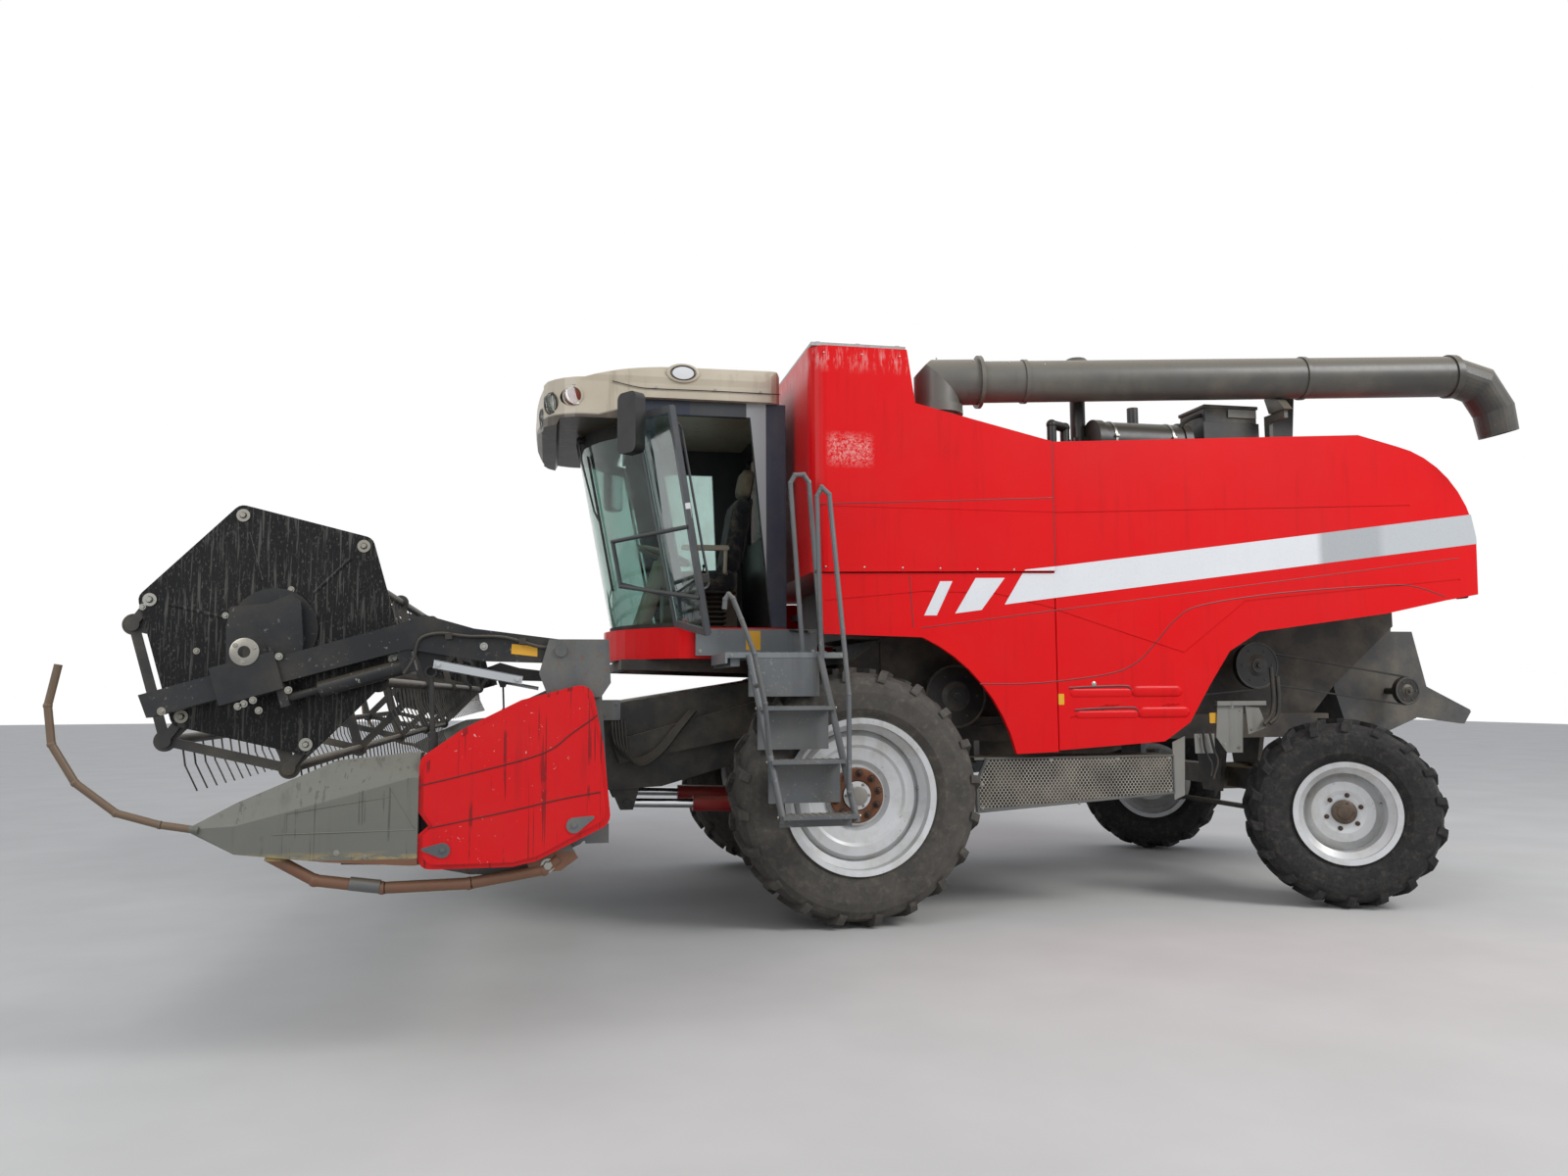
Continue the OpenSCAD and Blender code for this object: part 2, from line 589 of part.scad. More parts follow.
// The folded tube's own axis, from the swing axis outwards along +Z
module tube_axis() translate([tube_x, -tube_y, tube_z]) rotate([0, 0, -tube_splay])
  rotate([0, 90 - tube_rise, 0]) children();

// Swinging part: turned elbow, tube in three lengths with flanges, spout
module unloading_tube() color("#4c4c4e") placed() {
  translate([tube_x, -tube_y, turn_z + seat_gap]) cylinder(r = tube_r + 34, h = 34);
  // Mitred elbow
  difference() {
    union() {
      translate([tube_x, -tube_y, turn_z + 33]) cylinder(r = elbow_r, h = tube_z - turn_z - 33);
      intersection() {
        translate([tube_x, -tube_y, tube_z - 1]) cylinder(r = elbow_r, h = 400);
        tube_axis() translate([0, 0, -elbow_r]) cylinder(r = elbow_r, h = 2 * elbow_r + 2);
      }
    }
    translate([tube_x, -tube_y, tube_z]) rotate([0, 0, -tube_splay]) rotate([0, -45, 0])
      translate([-300, -200, 140]) cube([600, 400, 200]);
  }
  tube_axis() {
    cylinder(r = elbow_r, h = 300);
    translate([0, 0, 290]) cylinder(r = tube_r + 40, h = 26);
    translate([0, 0, 310]) cylinder(r = tube_r, h = tube_len - 310);
    for (d = [620, 2700]) translate([0, 0, d]) cylinder(r = tube_r + 10, h = 30);
    translate([0, 0, tube_len - 40]) cylinder(r = tube_r + 12, h = 50);
  }
  spout();
}
// Bent spout: sections joined by a hull, hollow at its lower end
module spout() translate([tube_x, -tube_y, tube_z]) rotate([0, 0, -tube_splay]) difference() {
  union() {
    hull() {
      section_at(tube_len, 90 - tube_rise, tube_r);
      section_at(tube_len + 200, 125, tube_r);
    }
    hull() {
      section_at(tube_len + 200, 125, tube_r);
      section_at(tube_len + 315, 160, tube_r - 6);
    }
    hull() {
      section_at(tube_len + 315, 160, tube_r - 6);
      section_at(tube_len + 345, 166, tube_r - 14);
    }
  }
  hull() {
    section_at(tube_len + 300, 155, tube_r - 26);
    section_at(tube_len + 353, 168, tube_r - 26);
  }
}
// A thin round section of the spout, its drop growing with its lean
module section_at(d, lean, r) {
  drop = d <= tube_len ? 0 : lean < 130 ? 70 : lean < 158 ? 215 : lean < 162 ? 260 : lean < 167 ? 440 : 452;
  translate([d, 0, d * tan(tube_rise) - drop]) rotate([0, lean, 0])
    cylinder(r = r, h = 1, $fn = 32);
}

/* Rear end */

// Straw chopper: housing under the hood, with the spreader's tail sheet
module chopper() color("#5a5b5c") placed() {
  difference() {
    side(-690, 690) polygon([[4160, 1520], [4250, 1240], [4560, 1150], [4900, 1280],
      [5020, 1500], [4900, 1980], [4705, 1980], [4705, 2020 - 6], [4160, 1568 - 12]]);
    side(-650, 650) polygon([[4300, 1500], [4380, 1290], [4560, 1200], [4850, 1310],
      [4960, 1500], [5060, 1560], [4860, 1900]]);
  }
  for (s = [-1, 1]) side(s * 670 - 20, s * 670 + 20)
    polygon([[4890, 1290], [5350, 1230], [rear_tip, 1330], [5010, 1520]]);
  side(-689, 689) polygon([[5000, 1500], [5380, 1330], [rear_tip, 1340], [5010, 1535]]);
  // Guide fins under the tail sheet
  for (i = [-3 : 3]) side(i * 190 - 4, i * 190 + 4)
    polygon([[5020, 1500], [5060, 1400], [5360, 1300], [5380, 1335]]);
}

// Pulleys and belts on the left side of the body
belts = [
  // first pulley x, z, r, second pulley x, z, r, plane
  [900, 1480, 230, 1800, 1480, 150, -880],
  [1800, 1480, 90, 3300, 1700, 180, -940],
  [3300, 1700, 120, 4640, 1500, 110, -900]
];
module belt_drive() color("#222224") placed() {
  for (b = belts) {
    for (k = [0, 3]) {
      axle(b[k], b[6] - 22, b[6] + 22, b[k + 1], b[k + 2]);
      axle(b[k], b[6] - 23, -seat_gap - (b[k] > 4200 ? 690 : core_half), b[k + 1], 28);
    }
    belt(b);
  }
}
// A flat belt round two pulleys: its straight runs
module belt(b) {
  d = [b[3] - b[0], b[4] - b[1]];
  lean = atan2(d.y, d.x);
  wrap = asin((b[2] - b[5]) / norm(d));
  for (s = [-1, 1]) {
    p = [b[0], b[1]] + b[2] * [cos(lean + s * (90 - wrap)), sin(lean + s * (90 - wrap))];
    q = [b[3], b[4]] + b[5] * [cos(lean + s * (90 - wrap)), sin(lean + s * (90 - wrap))];
    side(b[6] - 16, b[6] + 16) polygon([p + s * 5 * turned([0, 1], lean),
      q + s * 5 * turned([0, 1], lean), q - s * 5 * turned([0, 1], lean),
      p - s * 5 * turned([0, 1], lean)]);
  }
}

// Perforated guards below the side panels, left and right
module belt_guards() color("#8b8d8c") placed() both() difference() {
  union() {
    side(-1390, -1375) polygon([[850, 700], [850, 900], [930, 1065], [2330, 1065], [2330, 790]]);
    block([850, -1376, 1050], [2330, -1100, 1065]);
    for (x = [950, 2230]) block([x, -1110, 1050], [x + 40, -820 - seat_gap, 1170]);
  }
  for (i = [0 : 10], j = [0 : 2]) translate([920 + i * 130 + j * 20, 0, 780 + j * 75 + (i > 9 ? 40 : 0)])
    side(-1391, -1374) square([60, 34]);
}

/* Cab */

// X of the front pillar's line at a height
function pillar_at(z) = -pillar_x - (z - cab_floor) * tan(pillar_lean);
// X of the door's rear edge at a height
function post_at(z) = -480 - (z - cab_floor) * 0.1;

// Middle of the cab, radius of its nose and of the windscreen, half width of the windscreen
cab_mid = (cab_right - cab_left) / 2;
nose_r = 1000;
screen_r = 1069;
screen_half = (cab_left + cab_right) / 2 - 16;

// Floor, sill and the rounded red panel under the windscreen
module cab_base() color("#b3211e") placed() {
  block([-1120, -cab_left + 8, 1750], [-cab_rear, cab_right - 8, cab_floor - seat_gap]);
  // Rounded nose below the windscreen
  plan(1750, cab_floor - seat_gap) polygon(concat([[-1100, -cab_left], [-1100, cab_right]],
    arc([nose_r - 1590, cab_mid], nose_r, 121.8, 238.2, 16)));
}

// Posts, rear wall and roof frame, with the door's opening on the left
module cab_frame() color("#8f8f8c") placed() {
  difference() {
    cab_posts();
    lamp_recess(2);
  }
  // Hinge pins of the door, between ears on the front post
  for (z = door_hinges) on_door_axis(z) {
    translate([0, 0, -47]) cylinder(r = door_pin_r, h = 94);
    for (d = [-46, 32]) translate([0, 0, d]) linear_extrude(14)
      polygon([[-11, -5], [-5, -11], [5, -11], [11, -5], [11, -3], [30, -3], [30, 22],
        [12, 22], [12, 11], [-5, 11], [-11, 5]]);
  }
}
module cab_posts() {
  z0 = cab_floor;
  z1 = cab_top;
  // Front posts, leaning forward
  for (y = [-cab_left + cab_wall / 2 + 12, cab_right - cab_wall / 2])
    side(y - cab_wall / 2, y + cab_wall / 2) polygon([[pillar_at(z0) + 12, z0],
      [pillar_at(z0) + 92, z0], [pillar_at(z1) + 112, z1], [pillar_at(z1) + 12, z1]]);
  // Rear posts and rear wall with its window
  difference() {
    block([-cab_rear - 40, -cab_left, z0], [-cab_rear, cab_right, z1]);
    block([-cab_rear - 41, -620, 2700], [-cab_rear + 1, 380, 3400]);
  }
  side(-cab_left, -cab_left + cab_wall) polygon([[post_at(z0) + 6, z0], [-cab_rear - 39, z0],
    [-cab_rear - 39, z1], [post_at(z1) + 6, z1]]);
  // Right side wall with its window
  difference() {
    side(cab_right - cab_wall, cab_right) polygon([[pillar_at(z0) + 72, z0], [-cab_rear - 39, z0],
      [-cab_rear - 39, z1], [pillar_at(z1) + 92, z1]]);
    side(cab_right - cab_wall - 1, cab_right + 1) polygon(side_window(0));
  }
  // Roof rails and lintels
  block([pillar_at(z1) + 12, -cab_left + 12, screen_top + 15], [pillar_at(z1) + 72, cab_right, z1]);
  block([pillar_at(z1) + 12, -cab_left, z1 - 100], [-cab_rear, -cab_left + cab_wall, z1]);
}
// Outline of the right side's window, drawn in by e
function side_window(e) = [[pillar_at(2400) + 200 + e, 2400 + e], [-620 - e, 2400 + e],
  [-660 - e, 3340 - e], [pillar_at(3340) + 190 + e, 3340 - e]];

// Top edge of the windscreen and underside of the roof's brow
screen_top = 3385;
brow_z = 3345;

// Moulded roof: long rounded shell with a drooping brow over the windscreen
module cab_roof() color("#cdbfa9") placed() difference() {
  intersection() {
    side(-1200, 1000) polygon(concat(
      [[-cab_rear - 30, cab_top + seat_gap]],
      arc([-cab_rear - 100, 3715], 70, 0, 90, 4),
      arc([-1100, 1585], 2190, 92, 108, 8),
      arc([-1990, 3555], 110, 110, 175, 4),
      [[-2106, 3450], [-2095, 3385], [-2060, 3352], [-2010, brow_z], [-1960, brow_z],
        [-1940, brow_z + 43], [pillar_at(cab_top) - 30, brow_z + 43],
        [pillar_at(cab_top) - 30, cab_top + seat_gap]]));
    plan(3000, 3900) polygon(concat(
      arc([-530, cab_mid - 780], 130, 270, 360, 4), arc([-530, cab_mid + 780], 130, 0, 90, 4),
      arc([-1760, cab_mid + 610], 300, 90, 165, 5), arc([890, cab_mid], 3000, 168.5, 191.5, 8),
      arc([-1760, cab_mid - 610], 300, 195, 270, 5)));
    cross(-2300, 0) polygon(concat(
      arc([cab_mid + 790, 3685], 120, -20, 90, 5), arc([cab_mid - 790, 3685], 120, 90, 200, 5),
      [[cab_mid - 912, 3000], [cab_mid + 912, 3000]]));
  }
  lamp_recess(6);
}
// Recess of the lamp pods, wider than the lamps by e
module lamp_recess(e) for (s = [-1, 1], p = lamp_places) lamp_place(s, p) translate([0, 0, -30])
  cylinder(r = p[4] + e, h = 200);
module lamp_place(s, p) translate([p[0], cab_mid + s * p[1], p[2]]) rotate([0, 0, s * p[3]])
  rotate([0, -96, 0]) children();
// Round lamps in the brow: x, distance from the roof's middle, height, angle outwards, radius
lamp_places = [[-2048, 530, 3450, 12, 66], [-1990, 775, 3500, 35, 72], [-1850, 878, 3535, 70, 68]];

module roof_lamps() color("#d8dadb") placed() for (s = [-1, 1], p = lamp_places) lamp_place(s, p)
  translate([0, 0, -30 + seat_gap]) cylinder(r = p[4], h = 40);

// Curved windscreen, right window and rear window
module cab_glass() color([0.6, 0.75, 0.78, 0.5]) placed() {
  reach = (screen_top - cab_floor) / cos(pillar_lean) + 300;
  // The screen's edges seat on the front posts
  screen_x = sqrt(pow(screen_r - glass_t, 2) - pow(screen_half, 2)) + 12 * cos(pillar_lean) - seat_gap;
  intersection() {
    translate([pillar_at(cab_floor), cab_mid, cab_floor]) rotate([0, -pillar_lean, 0])
      translate([0, 0, -150]) intersection() {
        translate([screen_x, 0, 0]) difference() {
          cylinder(r = screen_r, h = reach, $fn = 160);
          translate([0, 0, -1]) cylinder(r = screen_r - glass_t, h = reach + 2, $fn = 160);
        }
        translate([-550, -screen_half, 0]) cube([700, 2 * screen_half, reach]);
      }
    block([-2200, -cab_left, cab_floor], [-1000, cab_right, screen_top]);
  }
  side(cab_right - 30, cab_right - 30 + glass_t) polygon(side_window(seat_gap));
  block([-cab_rear - 25, -620 + seat_gap, 2700 + seat_gap],
    [-cab_rear - 25 + glass_t, 380 - seat_gap, 3400 - seat_gap]);
}

// Driver's seat: pedestal, cushion, back and arm rest
seat_x = -850;
seat_y = cab_mid;
module seat() color("#1e1e20") placed() {
  block([seat_x - 180, seat_y - 180, cab_floor], [seat_x + 180, seat_y + 180, 2250]);
  plan(2249, 2420) polygon(rounded([seat_x - 260, seat_y - 260], [seat_x + 250, seat_y + 260], 70));
  translate([seat_x + 175, seat_y, 2400]) rotate([0, 10, 0])
    cross(0, 120) polygon(rounded([-250, 0], [250, 620], 90));
  translate([seat_x + 290, seat_y, 3030]) rotate([0, 10, 0])
    cross(-10, 90) polygon(rounded([-150, -30], [150, 200], 50));
  block([seat_x - 200, seat_y - 330, 2560], [seat_x + 180, seat_y - 270, 2610]);
  block([seat_x + 110, seat_y - 320, 2380], [seat_x + 160, seat_y - 262, 2561]);
  block([seat_x + 90, seat_y - 262, 2380], [seat_x + 160, seat_y - 230, 2420]);
}

// Steering column with its wheel and the side console
module console() color("#b8ab94") placed() {
  block([-1410, seat_y - 90, cab_floor], [-1240, seat_y + 90, cab_floor + 50]);
  translate([-1330, seat_y, cab_floor]) rotate([0, 18, 0]) {
    translate([0, 0, 24]) cylinder(r = 65, h = 536);
    translate([0, 0, 555]) cylinder(r = 40, h = 80);
    translate([0, 0, 620]) rotate_extrude($fn = 64) translate([200, 0]) circle(r = 16, $fn = 16);
    for (a = [90, 210, 330]) rotate([0, 0, a]) translate([0, 0, 620]) rotate([0, 90, 0])
      cylinder(r = 11, h = 195);
  }
  block([-1120, 230, cab_floor], [-520, 430, 2480]);
  translate([-1020, 330, 2479]) cylinder(r = 14, h = 160);
  translate([-1020, 330, 2660]) sphere(r = 32);
}

// Mirrors on short arms from the roof's front corners, ahead of the open door
mirror_at = [-1450, 1200, 3280];
module mirrors() color("#161618") placed() for (s = [-1, 1]) translate([0, cab_mid, 0])
  mirror([0, s < 0 ? 1 : 0, 0]) {
    cross(-1538, -1512) polygon([[860, brow_z + 42], [1175, brow_z + 42], [1175, brow_z + 18],
      [930, brow_z + 18], [905, brow_z + 30], [860, brow_z + 30]]);
    translate(mirror_at) rotate([0, 0, -36]) rotate([0, -90, 0]) linear_extrude(80)
      polygon(rounded([-203, -92], [203, 92], 45));
  }

// Door of the cab: closed shape, then turned open about the leaning front post
door_axis = [-sin(pillar_lean), 0, cos(pillar_lean)];
module door_turned() translate([-pillar_x, -cab_left, cab_floor])
  rotate(a = -door_open, v = door_axis)
    translate([pillar_x, cab_left, -cab_floor]) children();
// Outline of the door, drawn in by e
function door_outline(e) = [[pillar_at(cab_floor + 10) + 14 + e, cab_floor + 10 + e],
  [post_at(cab_floor + 10) - e, cab_floor + 10 + e], [post_at(door_top) - e, door_top - e],
  [pillar_at(door_top) + 14 + e, door_top - e]];
door_top = cab_top - 105;
module door_frame() color("#4a4c4e") placed() door_turned() {
  y0 = -cab_left - 36;
  difference() {
    side(y0, y0 + 30) polygon(door_outline(0));
    side(y0 - 1, y0 + 31) polygon(door_outline(45));
  }
  // Hand rail that stands off the door's front side
  rail([[post_at(2670) - 16, y0 + 6, 2670], [pillar_at(2600) + 30, -cab_left - 355, 2600],
    [pillar_at(2300) + 30, -cab_left - 355, 2300], [post_at(2216) - 16, y0 + 6, 2216]], 14);
  // Brace from the rail's lower corner to the door's front edge
  bar([pillar_at(2320) + 30, -cab_left - 355, 2320], [pillar_at(2180) + 34, y0 + 6, 2180], 10);
  // Hinge barrels with their leaves
  for (z = door_hinges) on_door_axis(z) difference() {
    union() {
      translate([0, 0, -30]) cylinder(r = 15, h = 60);
      block([-10, -22, -28], [40, -8, 28]);
    }
    translate([0, 0, -31]) cylinder(r = door_pin_r + run_fit, h = 62);
  }
}
// Heights of the door's hinges
door_hinges = [2250, 3150];
door_pin_r = 8;
// A hinge's own frame: its axis along Z on the door's hinge line
module on_door_axis(z) translate([pillar_at(z), -cab_left, z]) rotate([0, -pillar_lean, 0]) children();
module door_glass() color([0.6, 0.75, 0.78, 0.5]) placed() door_turned()
  side(-cab_left - 25, -cab_left - 25 + glass_t) polygon(door_outline(45 + seat_gap));

/* Platform and ladder */

landing_z = 1770;
// Landing beside the cab with its fascia and toe boards
module platform() color("#a6a8a6") placed() {
  block([-900, -1640, landing_z - 35], [-100, -cab_left - 1, landing_z]);
  for (x = [-900, -115]) block([x, -1640, landing_z - 70], [x + 15, -cab_left - 1, landing_z - 34]);
  // Sill plate under the door
  block([-1010, -cab_left - 28, landing_z - 1], [-160, -cab_left - seat_gap, cab_floor - 12]);
  // Brackets from the cab's beams
  for (x = [-860, -380]) block([x, -1600, landing_z - 88], [x + 60, -820 - seat_gap, landing_z - 34]);
}

// Ladder with closed risers and the hand rails
ladder_x0 = -750;
ladder_w = 460;
ladder_top = [-1664, landing_z - 20];
ladder_low = [-1900, 720];
ladder_shift = 170;
// A point on stringer k at a height
function stringer(k, z) = let (f = (z - ladder_low.y) / (ladder_top.y - ladder_low.y))
  [ladder_x0 + k * ladder_w + ladder_shift * (1 - f), ladder_low.x + (ladder_top.x - ladder_low.x) * f, z];
module ladder() color("#9a9c9b") placed() {
  for (k = [0, 1]) bar(stringer(k, ladder_low.y), stringer(k, ladder_top.y), 22, 54 + 180 * k);
  // Treads with their risers
  for (i = [0 : 2]) {
    p = stringer(0, ladder_low.y + 25 + i * 330);
    block(p + [-9, -60, 0], p + [ladder_w + 9, 120, 22]);
    block(p + [0, 100, i > 0 ? -250 : -60], p + [ladder_w, 118, 1]);
  }
  block([ladder_x0, -1646, 1490], [ladder_x0 + ladder_w, -1628, landing_z - 37]);
  // Brackets from the landing's edge
  for (k = [0, 1]) bar(stringer(k, ladder_top.y - 40),
    [ladder_x0 + k * ladder_w + 4, -1641.5, ladder_top.y - 46], 16);
  // Front hand rail, bent over at its top and clear of the door's swing
  rail([stringer(0, 1120), [-700, -1935, 1450], [-770, -1965, 1750], [-850, -1965, 1960],
    [-900, -1960, 2085], [-925, -1950, 2110], [-945, -1945, 2080], [-950, -1945, 2020]], 16);
  bar(stringer(0, 1560), [-728, -1950, 1560], 14);
  // Rear hand rails: two loops beside the ladder's head
  rail([[-380, -1560, landing_z + 6], [-455, -1560, 2880], [-425, -1560, 2935],
    [-365, -1560, 2940], [-330, -1560, 2890], [-250, -1560, landing_z + 6]], 16);
  for (x = [-380, -250]) translate([x, -1560, landing_z + seat_gap]) cylinder(r = 30, h = 10);
  rail([stringer(1, 1700), [-300, -1660, 2780], [-270, -1670, 2840],
    [-225, -1690, 2790], [-150, -1850, 1500], [-165, -1890, 900], stringer(1, 900)], 16);
  bar([-288, -1560, 2300], [-292, -1666, 2300], 12);
}

/* Header */

// Hinge line of the feeder house
feeder_pivot = [120, 1580];
// Front face of the feeder house, on the table's back sheet
feeder_front = 14 - header_back + seat_gap;
// Feeder house with its hinge tube, drive cover and the ears of the lift cylinders' rods
module feeder_house() color("#2c2c2e") placed() {
  difference() {
    union() {
      side(-620, 620) polygon([[60, 1690], [feeder_front, 1400], [feeder_front, 830],
        [-1200, 860], [60, 1210]]);
      axle(feeder_pivot.x, -640, 640, feeder_pivot.y, 110);
    }
    axle(feeder_pivot.x, -641, 641, feeder_pivot.y, feeder_pin_r + run_fit);
  }
  for (m = [-1, 1], s = [-1, 1]) {
    side(m * lift_y + s * 45 - 12, m * lift_y + s * 45 + 12) polygon([lift_eye + [-130, 150],
      lift_eye + [100, 150], lift_eye + [45, -45], lift_eye + [-45, -45]]);
    axle(lift_eye.x, m * lift_y + s * 64 - 8, m * lift_y + s * 64 + 8, lift_eye.y, pin_r);
  }
  both() side(-700, -619) polygon(concat([[-1560, 1180], [-1500, 1030]],
    arc([-200, 1430], 150, -90, 60, 8)));
}
feeder_pin_r = 60;

// Lift cylinders of the header: foot, eye, distance from the centre plane, radii
lift_foot = [-185, 700];
lift_eye = [-1440, 740];
lift_y = 500;
pin_r = 25;
barrel_r = 55;
lift_rod_r = 32;
lift_angle = atan2(lift_eye.y - lift_foot.y, lift_eye.x - lift_foot.x);
lift_length = norm(lift_eye - lift_foot);
module lift_place(s) translate([lift_foot.x, s * lift_y, lift_foot.y])
  rotate([0, 90 - lift_angle, 0]) children();
module lift_barrels() color("#b3211e") placed() for (s = [-1, 1]) lift_place(s) {
  difference() {
    union() {
      translate([0, 0, 88]) cylinder(r = barrel_r, h = 692);
      translate([-38, -25, 0]) cube([76, 50, 90]);
      axle(0, -26, 26, 0, 50);
    }
    translate([0, 0, 120]) cylinder(r = lift_rod_r + run_fit, h = 700);
  }
  axle(0, -62, 62, 0, pin_r);
}
module lift_rods() color("#d9dadc") placed() for (s = [-1, 1]) lift_place(s) {
  translate([0, 0, 450]) cylinder(r = lift_rod_r, h = lift_length - 450);
  translate([0, 0, lift_length]) axle(0, -30, 30, 0, 46);
}

// Auger: place of its shaft, radius of its stub shafts and reach of the drum
auger_at = [-2180, 1100];
auger_pin_r = 30;
drum_half = header_half - 100;
trough_r = auger_r + 35;
// Pivot of the reel arms, distance of the arms from the centre plane, radii of the pins
arm_pivot = [-1940, 1695];
arm_y = header_half - 5;
arm_pin_r = 24;
small_pin_r = 10;
// Reel's lift cylinder: foot on the end sheet, eye on the arm
reel_lift_foot = [-2440, 960];
reel_lift_eye = [-2470, 1610];
reel_lift_y = header_half + 25;

// Table: floor, trough, back sheet, beams, end sheets and the arms' posts
module header_table() color("#6f7274") placed() {
  w = header_half - 11;
  // Floor and trough in one folded sheet
  side(-w, w) polygon(concat([[30 - knife_x, knife_z - 12], [30 - knife_x, knife_z - 24]],
    arc(auger_at, trough_r + 12, 238, 318, 8), [[-header_back, 892], [-header_back, 920]],
    arc(auger_at, trough_r, 314, 240, 8)));
  // Back sheet with the opening of the feeder house
  difference() {
    block([-header_back, -w, 891], [14 - header_back, w, 1520]);
    block([-1 - header_back, -540, 960], [15 - header_back, 540, 1360]);
  }
  block([-header_back - 30, -w, 1500], [70 - header_back, w, 1600]);
  // Lower beam and uprights behind the back sheet, on both sides of the feeder house
  both() {
    block([13 - header_back, -w, 880], [110 - header_back, -624, 960]);
    for (y = [700, 1700, 2700, 3500])
      block([13 - header_back, -y - 30, 950], [80 - header_back, 30 - y, 1510]);
  }
  block([13 - header_back, -700, 1405], [45 - header_back, 700, 1501]);
  both() {
    side(-header_half, 12 - header_half) polygon([[-2500, 815], [-2500, 1250], [-2130, 1470],
      [-1850, 1600], [-1770, 1600], [-1730, 1000], [-1850, 880], [-2100, 770], [-2300, 770]]);
    // Auger's stub shaft
    axle(auger_at.x, -header_half - 20, 60 - drum_half, auger_at.y, auger_pin_r);
    // Post with the arm's pivot pin
    for (s = [-1, 1]) side(s * 62 - arm_y - 8, s * 62 - arm_y + 8)
      polygon([[-2030, 1600], [-1990, 1745], [-1740, 1745], [-1730, 1560], [-1770, 1500],
        [-1990, 1500]]);
    side(-arm_y - 62, 62 - arm_y) polygon([[-1850, 1500], [-1850, 1590], [-1770, 1590],
      [-1770, 1500]]);
    axle(arm_pivot.x, -arm_y - 80, 80 - arm_y, arm_pivot.y, arm_pin_r);
    // Foot pin of the reel's lift cylinder
    axle(reel_lift_foot.x, -reel_lift_y - 24, 1 - header_half, reel_lift_foot.y, small_pin_r);
  }
}

// Auger: drum, two screws that meet in the middle, fingers between them
module auger() color("#7a7c7c") placed() translate([auger_at.x, 0, auger_at.y]) {
  difference() {
    axle(0, -drum_half, drum_half, 0, drum_r);
    for (s = [-1, 1]) axle(0, s * (drum_half - 60) - 61, s * (drum_half - 60) + 61, 0,
      auger_pin_r + run_fit);
  }
  for (s = [-1, 1]) screw(s);
  // Retracting fingers in front of the feeder's mouth
  for (i = [0 : 11]) translate([0, i * 80 - 440, 0]) rotate([0, i * 75, 0])
    translate([0, 0, drum_r - 5]) cylinder(r = 8, h = auger_r - drum_r + 5);
}
// One screw: a thin strip that winds from the drum's end towards the middle
module screw(s) {
  run = drum_half - 560;
  n = ceil(run / auger_pitch * 14);
  t = 9;
  inner = drum_r - 4;
  ring = [for (i = [0 : n]) let (a = run / auger_pitch * 360 * i / n, y = drum_half - 20 - run * i / n)
    each [[inner * cos(a), y - t / 2, inner * sin(a)], [auger_r * cos(a), y - t / 2, auger_r * sin(a)],
      [auger_r * cos(a), y + t / 2, auger_r * sin(a)], [inner * cos(a), y + t / 2, inner * sin(a)]]];
  mirror([0, s < 0 ? 1 : 0, 0]) polyhedron(ring, concat([[0, 1, 2], [0, 2, 3]],
    [for (i = [0 : n - 1], k = [0 : 3]) let (a = 4 * i + k, b = 4 * i + (k + 1) % 4)
      each [[b, a, b + 4], [b + 4, a, a + 4]]],
    [[4 * n + 2, 4 * n + 1, 4 * n], [4 * n + 3, 4 * n + 2, 4 * n]]));
}

// Knife: back bar, pointed guards and the sickle on top
knife_half = header_half - 190;
module knife_bar() color("#77726a") placed() {
  n = floor(2 * knife_half / guard_pitch);
  x0 = -knife_x - 30;
  block([x0, -knife_half, knife_z - 24], [30 - knife_x - seat_gap, knife_half, knife_z - 6]);
  for (i = [0 : n - 1]) translate([x0 + 1, (i + 0.5 - n / 2) * guard_pitch, 0])
    plan(knife_z - 22, knife_z - 8) polygon([[0, -14], [-75, -9], [-100, 0], [-75, 9], [0, 14]]);
  plan(knife_z - 6.5, knife_z) polygon(concat(
    [[x0 + 35, -knife_half], [x0 + 35, knife_half], [x0 + 8, knife_half]],
    [for (i = [n - 1 : -1 : 0]) let (y = (i + 0.5 - n / 2) * guard_pitch)
      each [[x0 + 8, y + guard_pitch / 2 - 2], [x0 - 60, y]]],
    [[x0 + 8, -knife_half]]));
}

// Crop dividers: moulded noses, bent outer rods and the bowed skid tubes
divider_y = header_half + 40;
module dividers() color("#6d6f70") placed() both() {
  nose();
  rail([for (p = [[-3340, 985], [-3480, 1010], [-3640, 1060], [-3790, 1180], [-3880, 1330],
    [front_tip + 15, 1480], [-3870, 1640]]) [p.x, -divider_y, p.y]], 15);
  rail([for (p = [[-3080, 880], [-2900, 775], [-2640, 735], [-2300, 740], [-2000, 785],
    [-1940, 830]]) [p.x, -divider_y, p.y]], 24);
  side(-divider_y - 12, 12 - divider_y) polygon([[-2080, 840], [-1900, 900], [-1860, 830],
    [-1930, 780], [-2050, 770]]);
  block([-1960, -divider_y, 815], [-1900, -header_half - seat_gap, 870]);
}
// Nose: moulded shell between the end sheet's edge and its tip
nose_base = -2500 - seat_gap;
module nose() hull() {
  // Front, back, outer and inner side past the end sheet, bottom, top
  for (b = [[nose_base - 30, nose_base, 115, -150, 830, 1180],
    [nose_base - 30, nose_base, 50, -90, 830, 1275], [-2840, -2830, 95, -120, 850, 1090],
    [-2840, -2830, 30, -70, 860, 1245], [-3200, -3190, 70, -50, 890, 1000],
    [-3200, -3190, 35, -15, 890, 1090]])
    block([b[0], -header_half - b[2], b[4]], [b[1], -header_half - b[3], b[5]]);
  translate([-3360, -header_half - 20, 985]) sphere(r = 18, $fn = 12);
}

